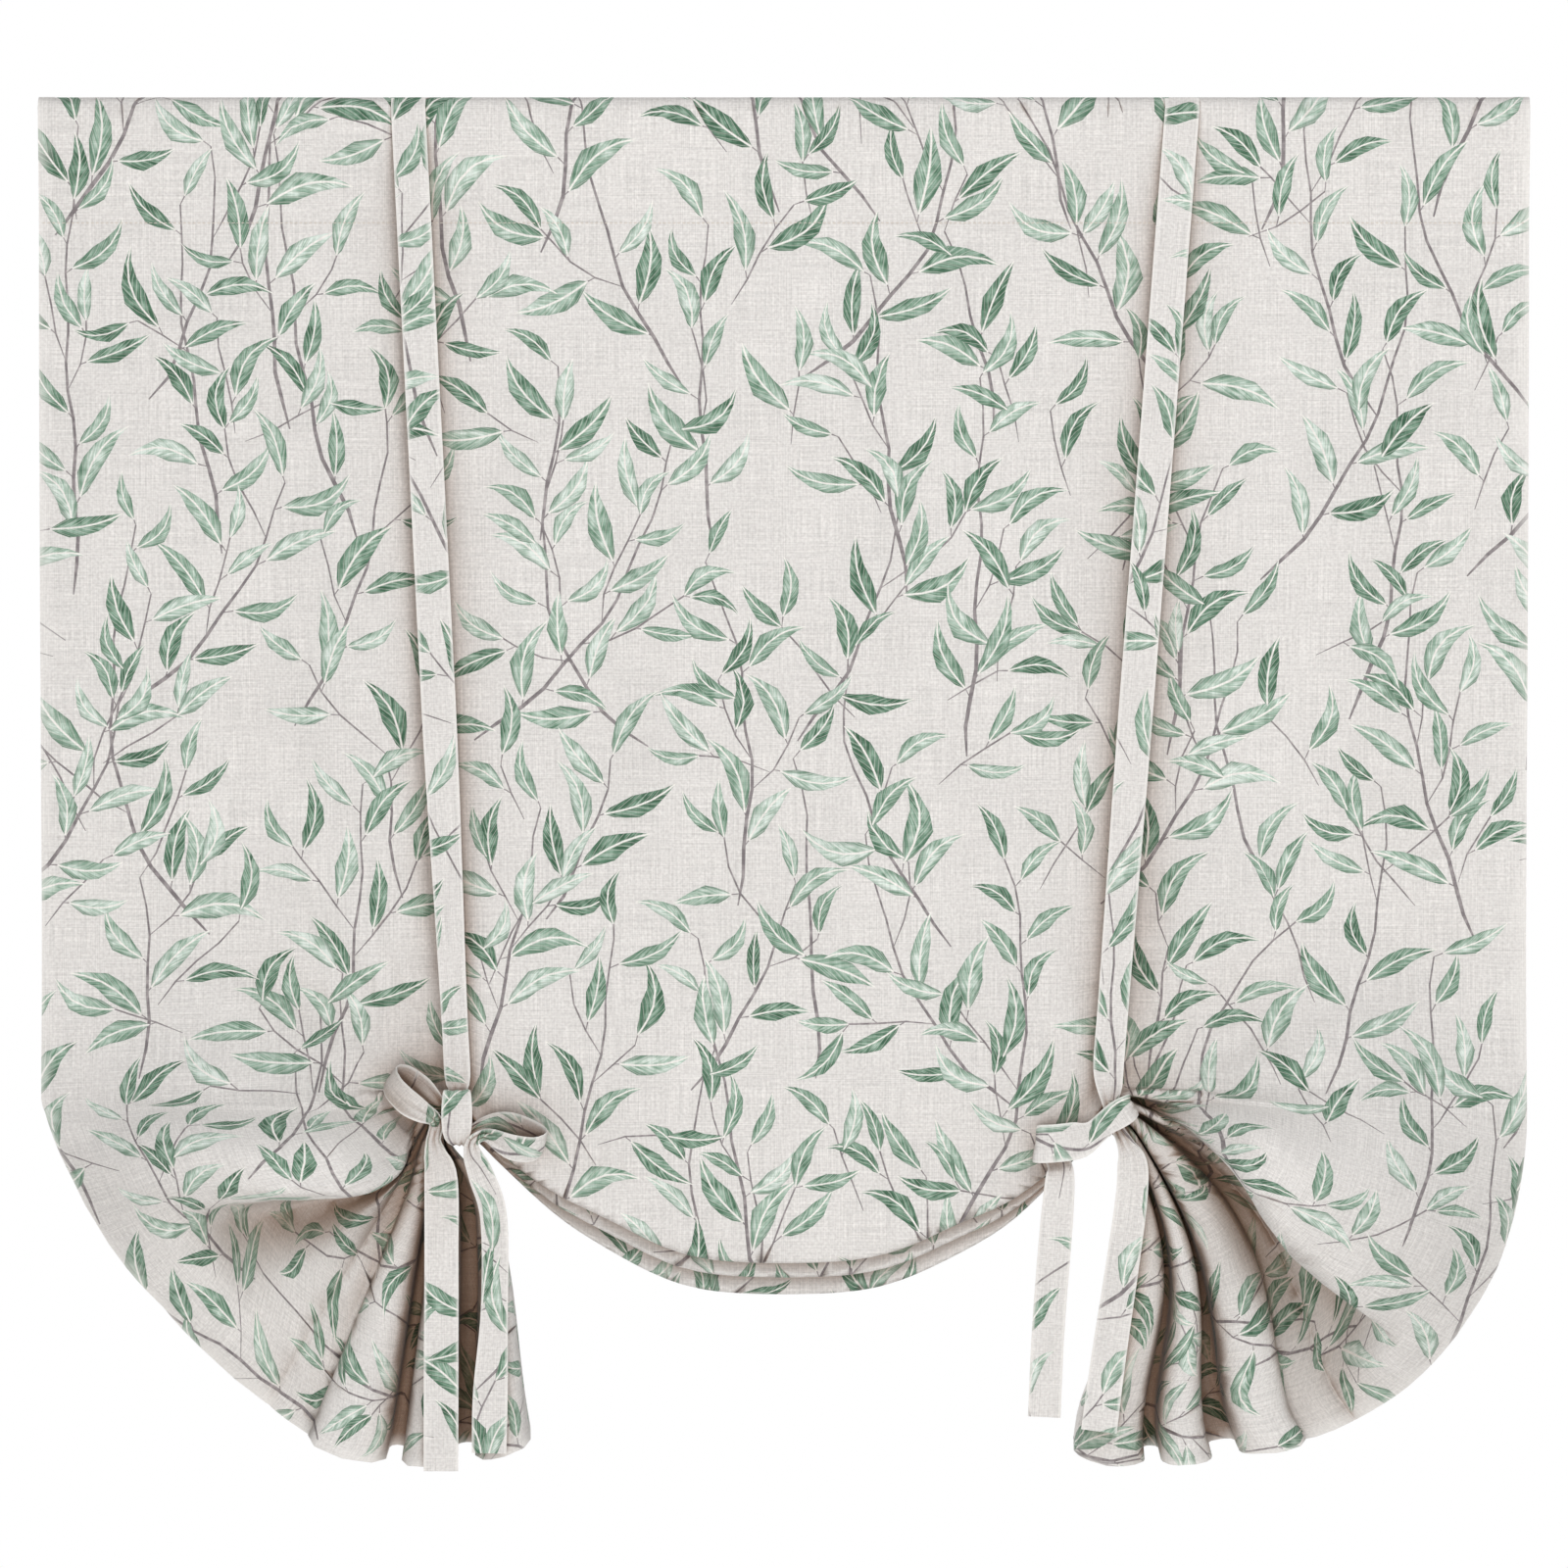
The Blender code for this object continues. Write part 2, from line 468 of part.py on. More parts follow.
def hanging_rows(hand, behind, foot):
    """The straight run of a tie, from round the header down to the start of its route."""
    sign = 1.0 if behind else -1.0
    over = ROD_ROOM_RADIUS + CLOTH_THICKNESS + TIE_CLEARANCE + TIE_THICKNESS / 2.0
    crown = ROD_ROOM_RADIUS + CLOTH_THICKNESS
    rows = []
    for degrees in (50, 25, 0):
        angle = math.radians(degrees)
        depth = crown - over * math.sin(angle)
        rows.append((TIE_TOP_X[hand], sign * over * math.cos(angle), depth, TIE_WIDTH, 0, 0))
    gap = CLOTH_THICKNESS / 2.0 + TIE_CLEARANCE + TIE_THICKNESS / 2.0
    end_x, end_y, end_depth, end_width = foot[:4]
    for share in (0.07, 0.16, 0.3, 0.44, 0.58, 0.7, 0.8, 0.88, 0.94):
        depth = mix(crown, end_depth, share)
        x = mix(TIE_TOP_X[hand], end_x, share)
        y = mix(sign * over, end_y, share)
        clear = panel_surface(x, depth, behind) + sign * gap
        y = max(y, clear) if behind else min(y, clear)
        rows.append((x, y, depth, mix(TIE_WIDTH, end_width, ramp(0.6, 1.0, share)), 0, 0))
    return rows


def smooth_rows(rows, longest):
    """Points read from a smooth curve through the rows of a route."""
    rows = np.array(rows, dtype=float)
    padded = np.vstack([2 * rows[0] - rows[1], rows, 2 * rows[-1] - rows[-2]])
    out = []
    for a, b, c, d in zip(padded, padded[1:], padded[2:], padded[3:]):
        before, along = b[:3] - a[:3], c[:3] - b[:3]
        turn = before.dot(along) / np.linalg.norm(before) / np.linalg.norm(along)
        count = 2 if np.linalg.norm(along) > longest or turn < 0.85 else 1
        for step in range(count):
            t = step / count
            bend = (2 * a - 5 * b + 4 * c - d) * t * t + (3 * b - a - 3 * c + d) * t**3
            out.append(0.5 * (2 * b + (c - a) * t + bend))
    out.append(rows[-1])
    return np.array(out)


def build_strip(name, rows, material):
    """A flat sewn tube swept along its rows. Where it is squeezed narrow it is thicker."""
    rows = smooth_rows(rows, 0.05)
    points = np.stack([rows[:, 0], rows[:, 1], POCKET_HEIGHT / 2.0 - rows[:, 2]], axis=-1)
    ahead = np.gradient(points, axis=0)
    ahead /= np.linalg.norm(ahead, axis=1, keepdims=True)
    turn, tilt = np.radians(rows[:, 4]), np.radians(rows[:, 5])
    wide = np.stack([np.cos(turn) * np.cos(tilt), np.sin(tilt), np.sin(turn) * np.cos(tilt)], axis=-1)
    wide -= ahead * np.sum(wide * ahead, axis=1, keepdims=True)
    wide /= np.linalg.norm(wide, axis=1, keepdims=True)
    face = np.cross(ahead, wide)
    bm = bmesh.new()
    rings = []
    for point, side, out, row in zip(points, wide, face, rows):
        half = row[3] / 2.0
        thick = TIE_THICKNESS * (1.0 + 0.9 * (1.0 - row[3] / TIE_WIDTH)) / 2.0
        corners = ((half, 0), (half - thick, thick), (thick - half, thick))
        corners += ((-half, 0), (thick - half, -thick), (half - thick, -thick))
        ring = [bm.verts.new(point + side * a + out * b) for a, b in corners]
        rings.append(ring)
    for before, ring in zip(rings, rings[1:]):
        for i in range(6):
            j = (i + 1) % 6
            bm.faces.new((before[i], before[j], ring[j], ring[i]))
    bm.faces.new(rings[0])
    bm.faces.new(rings[-1])
    return add_object(name, bm, material)


def route_rows(hand, route):
    x, depth = KNOT_X[hand], KNOT_DEPTH[hand]
    return [(x + dx, y, depth - up, width, turn, tilt) for dx, y, up, width, turn, tilt in route]


def under_bundle(hand):
    """The back tie's turn under the gathered cloth, from the wall side round to the room side."""
    radius = BUNDLE_RADIUS + CLOTH_THICKNESS / 2.0 + TIE_CLEARANCE + TIE_THICKNESS
    middle = column(np.array([GATHER_ACROSS * (-1, 1)[hand]]))["depth"][0]
    rows = []
    for degrees in range(0, 145, 18):
        angle = math.radians(degrees)
        depth = middle + radius * math.sin(angle)
        rows.append((GATHER_X * (-1, 1)[hand], radius * math.cos(angle), depth, SQUEEZED_WIDTH, 0, 0))
    return rows


def build_ties():
    for hand, side_name in enumerate(("left", "right")):
        front_route = (LEFT_FRONT_ROUTE, RIGHT_FRONT_ROUTE)[hand]
        back_route = (LEFT_BACK_ROUTE, RIGHT_BACK_ROUTE)[hand]
        cloth_of_tie = cloth_material(side_name + "_tie_cloth", (0.66, 0.66, 0.58), 0.9)
        front = route_rows(hand, front_route)
        rows = hanging_rows(hand, False, front[0]) + front
        build_strip(side_name + "_front_tie", rows, cloth_of_tie)
        back = route_rows(hand, back_route)
        turn_under = under_bundle(hand)
        rows = hanging_rows(hand, True, turn_under[0]) + turn_under + back
        build_strip(side_name + "_back_tie", rows, cloth_of_tie)


build_panel()
build_ties()
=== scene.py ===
"""Tie-up window shade of printed linen, hung by its rod pocket and tied up in a swag with two tails.

Metres, +Z up, -Y faces the room. The origin is the centre of the rod pocket.
"""

import math
import random

import bpy
import numpy as np
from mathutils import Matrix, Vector
from mathutils.geometry import delaunay_2d_cdt


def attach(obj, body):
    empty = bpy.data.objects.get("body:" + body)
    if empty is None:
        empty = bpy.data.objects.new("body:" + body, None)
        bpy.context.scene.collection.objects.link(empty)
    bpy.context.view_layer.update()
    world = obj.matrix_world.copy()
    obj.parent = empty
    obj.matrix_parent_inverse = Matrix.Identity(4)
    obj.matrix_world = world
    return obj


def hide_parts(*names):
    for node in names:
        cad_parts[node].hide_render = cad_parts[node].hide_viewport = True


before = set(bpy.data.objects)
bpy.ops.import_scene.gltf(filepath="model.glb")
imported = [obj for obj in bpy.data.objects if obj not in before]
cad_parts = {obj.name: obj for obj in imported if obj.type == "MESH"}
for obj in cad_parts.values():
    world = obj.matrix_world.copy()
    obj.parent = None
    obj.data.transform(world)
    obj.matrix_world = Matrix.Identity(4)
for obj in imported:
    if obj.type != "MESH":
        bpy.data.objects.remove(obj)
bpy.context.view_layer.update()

# The panel
# One width of linen, 1168 by 1707 mm flat with the turn for the rod pocket. It hangs from the
# pocket, is folded up from below in nine turns, and is squeezed to a bundle at each tie. It is
# worked out over its own flat coordinates: across, from the middle to the side hems, and down,
# from the header fold to the bottom hem.

PANEL_WIDTH = 1.168
PANEL_LENGTH = 1.600
POCKET_HEIGHT = 0.097
POCKET_TURN = 0.010
LINEN = 0.0009
HEM_FOLD = 0.0005
HEM_WIDTH = 0.012
BOTTOM_HEM = 0.020
HEM_STEP = 0.001
HEM_ROW = PANEL_LENGTH - 0.021
ROD_ROOM_RADIUS = 0.0111
SEAM_SPREAD = 0.0009

# The gathers: where the cloth is squeezed, across the flat cloth and in the room, and how tightly
GATHER_ACROSS = 0.264
GATHER_X = 0.257
BUNDLE_RADIUS = 0.0175
BUNDLE_PITCH = 0.0035
NECK = 0.008

# The swag between the gathers: its lowest line, how that rises to the left and the right, and how
# its folds are stacked
SWAG_DROP = 0.939
SWAG_SLOPE = (0.62, 0.55)
SWAG_FLAT = (0.090, 0.088)
SWAG_RISE = (0.36, 0.51)
SWAG_RISE_FROM = 0.185
SWAG_SOFTNESS = 0.020
SWAG_RISE_SOFTNESS = 0.010
SWAG_PITCH = 0.0065
SWAG_HALF_STACK = 0.0365
SWAG_SET_BACK = 0.017

# The tails outside the gathers: how deep they start, and how far they puff out towards the room
FAN_TOP_DEPTH = 0.785
BILLOW = 0.105
BILLOW_AT_HEM = 0.018

# Fan-fold turns from the lip to the bottom hem, of which the first ones fade out towards the hems
TURNS = 9
FADING_TURNS = 4
# Pleats of the tails: how much of each leg rounds into a front lobe or a back valley, and how much
# of a turn's height is in that round; and how much shorter the cloth hangs where it lies behind
LOBE_SHARE = 0.28
LOBE_BEND = 0.62
VALLEY_SHARE = 0.10
VALLEY_BEND = 0.30
VALLEY_LIFT = 0.22
# Heights of the turns from the middle of the stack, in the swag and at the side hems
SWAG_TURNS = (-0.0105, 0.0625, -0.0225, 0.050, -0.0365, 0.0365, -0.0245, 0.0425, -0.0125, 0.0575)
HEM_TURNS = (0.0, 0.0, 0.0, 0.014, -0.032, 0.024, -0.037, 0.022, -0.034, 0.020)

# Angle of the fan below level, by leg of the folded cloth, at the hem and close to the gather
FAN_LEGS = (-0.7, 0.5, 1.5, 2.5, 3.0, 4.0, 5.0, 6.0, 7.0, 8.0)
FAN_HEM = (
    (0.0, 21.7, 39.8, 60.0, 67.5, 80.5, 83.0, 89.5, 91.0, 99.0),
    (0.0, 19.3, 35.3, 54.0, 61.5, 71.5, 76.0, 83.5, 86.0, 97.0),
)
FAN_ROOT = (
    (0.0, 34.0, 50.0, 60.0, 67.0, 79.0, 83.0, 91.0, 94.0, 103.0),
    (0.0, 24.0, 31.0, 34.0, 39.0, 58.8, 60.0, 66.5, 68.5, 80.0),
)
# Share of those angles at the gather itself, which the cloth leaves more levelly
NECK_ANGLES = (0.80, 0.97)
# How far the last legs of the fan hang in towards the swag
HANG_IN = (0.024, 0.004)
# Lower lip of the puffed cloth, where it hangs over the fan, by distance from the gather
LIP_PLACES = (0.0, 0.12, 0.20, 0.32, 0.43, 0.54, 0.65, 0.80, 1.0)
LIP_ANGLES = (
    (66.0, 66.0, 64.0, 52.0, 38.0, 28.0, 22.5, 18.5, 15.0),
    (0.0, 13.0, 26.0, 34.0, 40.5, 43.0, 42.5, 41.0, 40.0),
)
LIP_LEG = 0.95
LIP_TUCK = (8.0, 10.0)
LIP_FADES = (0.65, 0.72)
UNDER_LEG = 2.5
# How far the cloth under the lip bellies out
BELLY = (0.030, 0.012)
# Reach of the side hem from the gather, by angle, as a share of the tail's flat width
TAIL_WIDTH = PANEL_WIDTH / 2.0 - GATHER_ACROSS - NECK
REACH_ANGLES = (0.0, 12.0, 24.0, 36.0, 48.0, 60.0, 70.0, 80.0, 92.0, 104.0)
REACH = (
    (1.013, 0.952, 0.913, 0.877, 0.875, 0.891, 0.933, 0.929, 0.904, 0.859),
    (1.013, 1.018, 1.027, 1.021, 1.010, 0.990, 0.946, 0.923, 0.913, 0.881),
)


def ramp(low, high, value):
    """A smooth rise from 0 at low to 1 at high."""
    t = np.clip((value - low) / (high - low), 0.0, 1.0)
    return t * t * (3.0 - 2.0 * t)


def mix(a, b, t):
    return a + (b - a) * t


def by_side(pair, across):
    """The left or the right one of a pair of values."""
    return np.where(across < 0, pair[0], pair[1])


def side_table(value, knots, tables, across):
    """A value read from the left or the right table."""
    left = np.interp(value, knots, tables[0])
    right = np.interp(value, knots, tables[1])
    return np.where(across < 0, left, right)


def swag_line(x, across):
    """Depth of the swag's lowest line: level in the middle, and steeper towards each gather."""
    over = (x - by_side(SWAG_FLAT, across)) / SWAG_SOFTNESS
    beyond = (x - SWAG_RISE_FROM) / SWAG_RISE_SOFTNESS
    lifted = by_side(SWAG_SLOPE, across) * SWAG_SOFTNESS * np.logaddexp(0.0, over)
    lifted = lifted + by_side(SWAG_RISE, across) * SWAG_RISE_SOFTNESS * np.logaddexp(0.0, beyond)
    return SWAG_DROP - lifted


def bundle_turn(turn):
    """Height of a turn in the bundle, which its layers fill as a circle."""
    off = (np.minimum(turn, TURNS - 0.5) - (TURNS - 1) / 2.0) * BUNDLE_PITCH
    reach = np.sqrt(np.maximum(BUNDLE_RADIUS**2 - off**2, 0.0))
    return reach * np.where(turn % 2 == 0, -1.0, 1.0)


def column(across):
    """What the folds depend on across the panel, and not on the distance down it."""
    span = np.abs(across) - GATHER_ACROSS
    c = {"side": np.where(across < 0, -1.0, 1.0)}
    c["open"] = 1.0 - ramp(-0.14, -NECK, span)
    c["radius"] = np.maximum(span - NECK, 0.0)
    c["rho"] = c["radius"] / TAIL_WIDTH
    c["turned"] = math.pi / 2.0 * ramp(-0.045, 0.03, span)
    c["pitch"] = mix(BUNDLE_PITCH, SWAG_PITCH, c["open"])
    c["x"] = GATHER_X + np.where(span < 0, span * GATHER_X / GATHER_ACROSS, np.minimum(span, NECK))
    half = mix(BUNDLE_RADIUS, SWAG_HALF_STACK, c["open"])
    necked = np.minimum(c["x"] + NECK, GATHER_X)
    c["depth"] = mix(swag_line(necked, across) - half, FAN_TOP_DEPTH, c["rho"])
    c["set_back"] = SWAG_SET_BACK * c["open"]
    turns = np.arange(TURNS + 1.0)[:, None]
    tight = bundle_turn(turns)
    swag = np.array(SWAG_TURNS)[:, None]
    hem = np.array(HEM_TURNS)[:, None]
    unfolding = np.where(turns < FADING_TURNS, ramp(0.0, 0.30, c["rho"]), c["rho"])
    c["turns"] = np.where(span < 0, mix(tight, swag, c["open"]), mix(tight, hem, unfolding))
    first = swag_line(necked, across) - half - c["turns"][0]
    at_gather = swag_line(GATHER_X, across) - BUNDLE_RADIUS - bundle_turn(0.0)
    c["first_turn"] = np.where(span < 0, first, at_gather)
    c["leg"] = (PANEL_LENGTH - c["first_turn"]) / TURNS
    wide = ramp(0.02, 0.45, c["rho"]) * np.where(turns < FADING_TURNS, 0.0, 1.0)
    faces_room = turns % 2 == 0
    tight_share = np.clip(math.pi / 4.0 * c["pitch"] / c["leg"], 0.03, 0.3)
    c["share"] = mix(tight_share, np.where(faces_room, LOBE_SHARE, VALLEY_SHARE), wide)
    tight_bend = np.minimum(0.5 * c["pitch"], 0.45 * np.abs(c["turns"]))
    round_bend = np.where(faces_room, LOBE_BEND, VALLEY_BEND) * np.abs(c["turns"])
    c["bend"] = mix(tight_bend, round_bend, wide) * np.sign(c["turns"])
    c["bend"][TURNS] = 0.0
    return c


def folded(c, down):
    """Leg number (whole along a leg, halves at the turns) and height from the bundle's middle."""
    place = (down - c["first_turn"]) / c["leg"]
    near = np.clip(np.round(place), 0, TURNS - 1).astype(int)
    columns = np.arange(len(place))
    share = c["share"][near, columns]
    local = np.clip((place - near) / share, -1.0, 1.0)
    leg = near - 0.5 + 0.5 * np.sin(local * math.pi / 2.0)
    reach = c["turns"]
    bend = c["bend"]
    start = np.clip(np.floor(place), 0, TURNS - 1).astype(int)
    first = reach[start, columns] - bend[start, columns]
    last = reach[start + 1, columns] - bend[start + 1, columns]
    before = c["share"][start, columns]
    after = np.where(start == TURNS - 1, 0.0, c["share"][start + 1, columns])
    t = np.clip((place - start - before) / (1.0 - before - after), 0.0, 1.0)
    straight = mix(first, last, t)
    round_turn = reach[near, columns] - bend[near, columns] * (1.0 - np.cos(local * math.pi / 2.0))
    height = np.where(np.abs(local) < 1.0, round_turn, straight)
    above = np.maximum(-place - share, 0.0) * c["leg"] * (1.0 - ramp(0.0, 0.15, c["rho"]))
    height = np.where(place < -share, reach[0] - bend[0] + above, height)
    return place, leg, height


def fan_angle(c, place, leg, across):
    """Angle below level at which each point leaves the gather, in degrees."""
    opened = ramp(0.0, 0.30, c["rho"]) * (1.0 - ramp(2.6, 3.4, place - 0.5))
    spread = mix(leg, place - 0.5, opened)
    at_hem = side_table(spread, FAN_LEGS, FAN_HEM, across)
    at_root = side_table(spread, FAN_LEGS, FAN_ROOT, across)
    grown = ramp(0.15, 0.95, c["rho"])
    angle = mix(at_root, at_hem, grown)
    lip = side_table(c["rho"], LIP_PLACES, LIP_ANGLES, across)
    fading = 1.0 - ramp(by_side(LIP_FADES, across), 0.97, c["rho"])
    tuck = by_side(LIP_TUCK, across) * ramp(0.18, 0.45, c["rho"]) * fading
    under_root = side_table(UNDER_LEG, FAN_LEGS, FAN_ROOT, across)
    under = mix(under_root, side_table(UNDER_LEG, FAN_LEGS, FAN_HEM, across), grown)
    before = (lip - tuck) * (np.clip(spread, -0.7, LIP_LEG) + 0.7) / (LIP_LEG + 0.7)
    after = mix(lip - tuck, under, np.clip((spread - LIP_LEG) / (UNDER_LEG - LIP_LEG), 0.0, 1.0))
    puffed = np.where(spread < LIP_LEG, before, after)
    puffed = puffed + tuck * np.exp(-(((spread - LIP_LEG) / 0.30) ** 2))
    angle = np.where(spread < UNDER_LEG, mix(angle, puffed, ramp(0.06, 0.25, c["rho"])), angle)
    return angle * mix(by_side(NECK_ANGLES, across), 1.0, ramp(0.0, 0.28, c["rho"]))


def billow(c, place, across):
    """How far the puffed cloth round a gather stands out towards the room."""
    leg = place - 0.5
    near = 1.0 - ramp(0.2, 0.6, c["rho"])
    rise = ramp(mix(-2.3, -1.5, near), mix(0.7, 0.2, near), leg)
    fall = 1.0 - ramp(LIP_LEG - 0.15, mix(1.55, 3.0, ramp(0.6, 1.0, c["rho"])), leg)
    swell = BILLOW * np.sin(math.pi * c["rho"] ** 0.85) * ramp(-0.02, 0.34, c["rho"])
    swell = swell + BILLOW_AT_HEM * c["rho"]
    below_lip = ramp(1.3, 2.2, leg) * (1.0 - ramp(2.2, 3.2, leg))
    belly = by_side(BELLY, across) * np.sin(math.pi * c["rho"]) * below_lip
    return swell * rise * fall + belly


def sheet_forward(across, down, c):
    """How far behind the pocket's middle the hanging front lies."""
    waves = 0.0035 * np.sin(across * 27.0 + 0.6) + 0.0025 * np.sin(across * 49.0 + 2.0)
    waves = waves * ramp(POCKET_HEIGHT, 0.5, down) * (1.0 - 0.8 * ramp(0.65, 0.85, down))
    at_bundle = c["set_back"] - 0.5 * TURNS * c["pitch"] * np.cos(c["turned"])
    hung = mix(-SEAM_SPREAD, at_bundle, ramp(0.25, 0.80, down))
    return hung + waves


def creases(across, down, c):
    """Small pulled creases that run out from each tie, and the soft waves of a worn cloth."""
    from_tie_x = np.abs(across) - GATHER_ACROSS
    from_tie_down = down - c["first_turn"]
    distance = np.hypot(from_tie_x, from_tie_down)
    bearing = np.arctan2(from_tie_x, -from_tie_down)
    pulled = np.sin(bearing * 17.0 + 2.2 * np.sin(bearing * 3.0 + across * 5.0))
    pulled = pulled * ramp(0.05, 0.11, distance) * (1.0 - ramp(0.14, 0.36, distance))
    soft = np.sin(across * 61.0 + 3.0 * np.sin(down * 7.0)) * np.sin(down * 23.0 + across * 9.0)
    calm = ramp(POCKET_HEIGHT, 0.25, down) * (1.0 - ramp(0.62, 0.74, down))
    tail = ramp(0.08, 0.35, c["rho"]) * ramp(0.74, 0.82, down)
    ripple = np.sin(c["rho"] * 19.0 + down * 40.0 + c["side"])
    return 0.0016 * pulled * ramp(-0.02, 0.03, -from_tie_down) + 0.0009 * soft * calm + 0.0011 * ripple * tail


def folded_cloth(across, down):
    """Points of the middle of the cloth below the pocket seam, as an array of x, y, z."""
    c = column(across)
    place, leg, height = folded(c, down)
    angle = fan_angle(c, place, leg, across)
    reach = side_table(angle, REACH_ANGLES, REACH, across) * TAIL_WIDTH * c["rho"]
    behind = np.maximum(height + 0.034, 0.0) * c["rho"] * ramp(3.0, 3.8, place)
    reach = reach - VALLEY_LIFT * behind
    angle = np.radians(angle)
    hang_in = by_side(HANG_IN, across) * ramp(4.5, TURNS - 1.0, leg) * ramp(0.0, 0.18, c["rho"])
    stack = (leg - (TURNS - 2) / 2.0) * c["pitch"] * (1.0 - c["rho"])
    turned = c["turned"]
    x = c["x"] + reach * np.cos(angle) - hang_in
    y = c["set_back"] + stack * np.cos(turned) + height * np.sin(turned)
    depth = c["depth"] + stack * np.sin(turned) + reach * np.sin(angle) - height * np.cos(turned)

    at_gather = c["x"] + c["rho"] * TAIL_WIDTH * REACH[0][0]
    sheet_x = mix(np.abs(across), at_gather, ramp(POCKET_HEIGHT, FAN_TOP_DEPTH, down))
    sheet_y = sheet_forward(across, down, c)
    hanging = ramp(0.0, 0.036, c["first_turn"] - down)
    x = mix(x, sheet_x, hanging) * c["side"]
    y = mix(y, sheet_y, hanging) - billow(c, place, across) - creases(across, down, c)
    lift = 0.5 * TURNS * c["pitch"] * (1.0 - c["rho"]) * np.sin(turned)
    lift = lift * (1.0 - ramp(0.02, 0.16, c["first_turn"] - down))
    depth = mix(depth, down - lift, hanging)
    return np.stack([x, y, POCKET_HEIGHT / 2.0 - depth], axis=-1)


# The same cloth measured along itself, so that the weave and the print keep their size round the
# folds: for each place across, how far down the cloth each step of the fold pattern really lies
FOLD_STEPS = 540
SMALLEST_STEP = 2e-5
fold_across = np.concatenate([
    np.linspace(-PANEL_WIDTH / 2.0, -0.2, 97), np.linspace(-0.19, 0.19, 21),
    np.linspace(0.2, PANEL_WIDTH / 2.0, 97),
])
fold_start = column(fold_across)["first_turn"]
fold_shares = np.linspace(0.0, 1.0, FOLD_STEPS + 1)
fold_lengths = np.zeros((len(fold_across), FOLD_STEPS + 1))
for number, place in enumerate(fold_across):
    along_fold = fold_start[number] + fold_shares * (PANEL_LENGTH - fold_start[number])
    steps = np.diff(folded_cloth(np.full(FOLD_STEPS + 1, place), along_fold), axis=0)
    run = np.concatenate([[0.0], np.cumsum(np.linalg.norm(steps, axis=1) + SMALLEST_STEP)])
    fold_lengths[number] = run / run[-1]


def read_folds(across, share, to_length):
    """Reads the table of fold lengths either way, between its columns."""
    right = np.clip(np.searchsorted(fold_across, across), 1, len(fold_across) - 1)
    t = np.clip((across - fold_across[right - 1]) / (fold_across[right] - fold_across[right - 1]), 0.0, 1.0)
    found = []
    for number in (right - 1, right):
        values = np.empty_like(share)
        for column_number in np.unique(number):
            mine = number == column_number
            lengths = fold_lengths[column_number]
            pair = (fold_shares, lengths) if to_length else (lengths, fold_shares)
            values[mine] = np.interp(share[mine], *pair)
        found.append(values)
    return mix(found[0], found[1], t)


def true_down(across, fold_down):
    """How far down the flat cloth a place of the fold pattern lies."""
    start = column(across)["first_turn"]
    whole = PANEL_LENGTH - start
    share = np.clip((fold_down - start) / whole, 0.0, 1.0)
    return np.where(fold_down > start, start + whole * read_folds(across, share, True), fold_down)


def cloth(across, down):
    """Points of the middle of the panel below the pocket seam, by true places on the flat cloth."""
    start = column(across)["first_turn"]
    whole = PANEL_LENGTH - start
    share = np.clip((down - start) / whole, 0.0, 1.0)
    in_folds = start + whole * read_folds(across, share, False)
    return folded_cloth(across, np.where(down > start, in_folds, down))


def pocket(across, down):
    """Points of the rod pocket: up its front, over the header fold and down its back."""
    centre = ROD_ROOM_RADIUS
    straight = math.hypot(POCKET_HEIGHT - centre, ROD_ROOM_RADIUS - SEAM_SPREAD)
    quarter = math.pi / 2.0 * ROD_ROOM_RADIUS
    from_top = np.abs(down) * (straight + quarter) / POCKET_HEIGHT
    along = np.clip((from_top - quarter) / straight, 0.0, None)
    turn = np.minimum(from_top / ROD_ROOM_RADIUS, math.pi / 2.0)
    rounded = from_top < quarter
    off = np.where(rounded, ROD_ROOM_RADIUS * np.sin(turn), mix(ROD_ROOM_RADIUS, SEAM_SPREAD, along))
    over_fold = centre - ROD_ROOM_RADIUS * np.cos(turn)
    depth = np.where(rounded, over_fold, mix(centre, POCKET_HEIGHT, along))
    ease = 0.0006 * np.sin(across * 83.0) * np.sin(math.pi * np.clip(along, 0.0, 1.0))
    y = np.where(down < 0, off, -off) + ease
    return np.stack([across, y, POCKET_HEIGHT / 2.0 - depth], axis=-1)


def panel_middle(across, down):
    """Points of the middle of the whole panel, pocket and all."""
    below = cloth(across, np.maximum(down, POCKET_HEIGHT))
    above = pocket(across, np.minimum(down, POCKET_HEIGHT))
    return np.where((down < POCKET_HEIGHT)[:, None], above, below)


def panel_thickness(across, down):
    hem = ramp(PANEL_WIDTH / 2.0 - HEM_WIDTH - HEM_STEP, PANEL_WIDTH / 2.0 - HEM_WIDTH, np.abs(across))
    hem = np.maximum(hem, ramp(HEM_ROW, PANEL_LENGTH - BOTTOM_HEM, down))
    return LINEN + HEM_FOLD * hem


# How far to each side of a place the slope of the cloth is read
SLOPE_REACH = 0.0003


def cloth_normal(middle_of, across, down):
    """Normal of a cloth towards its back, from the places a little to each side."""
    along = middle_of(across + SLOPE_REACH, down) - middle_of(across - SLOPE_REACH, down)
    downward = middle_of(across, down + SLOPE_REACH) - middle_of(across, down - SLOPE_REACH)
    normal = np.cross(along, downward)
    return normal / np.maximum(np.linalg.norm(normal, axis=-1, keepdims=True), 1e-12)


def panel_faces(across, down):
    """Points of the front and back faces of the panel, and its normal towards the back."""
    normal = cloth_normal(panel_middle, across, down)
    middle = panel_middle(across, down)
    half = normal * panel_thickness(across, down)[:, None] / 2.0
    return middle - half, middle + half, normal


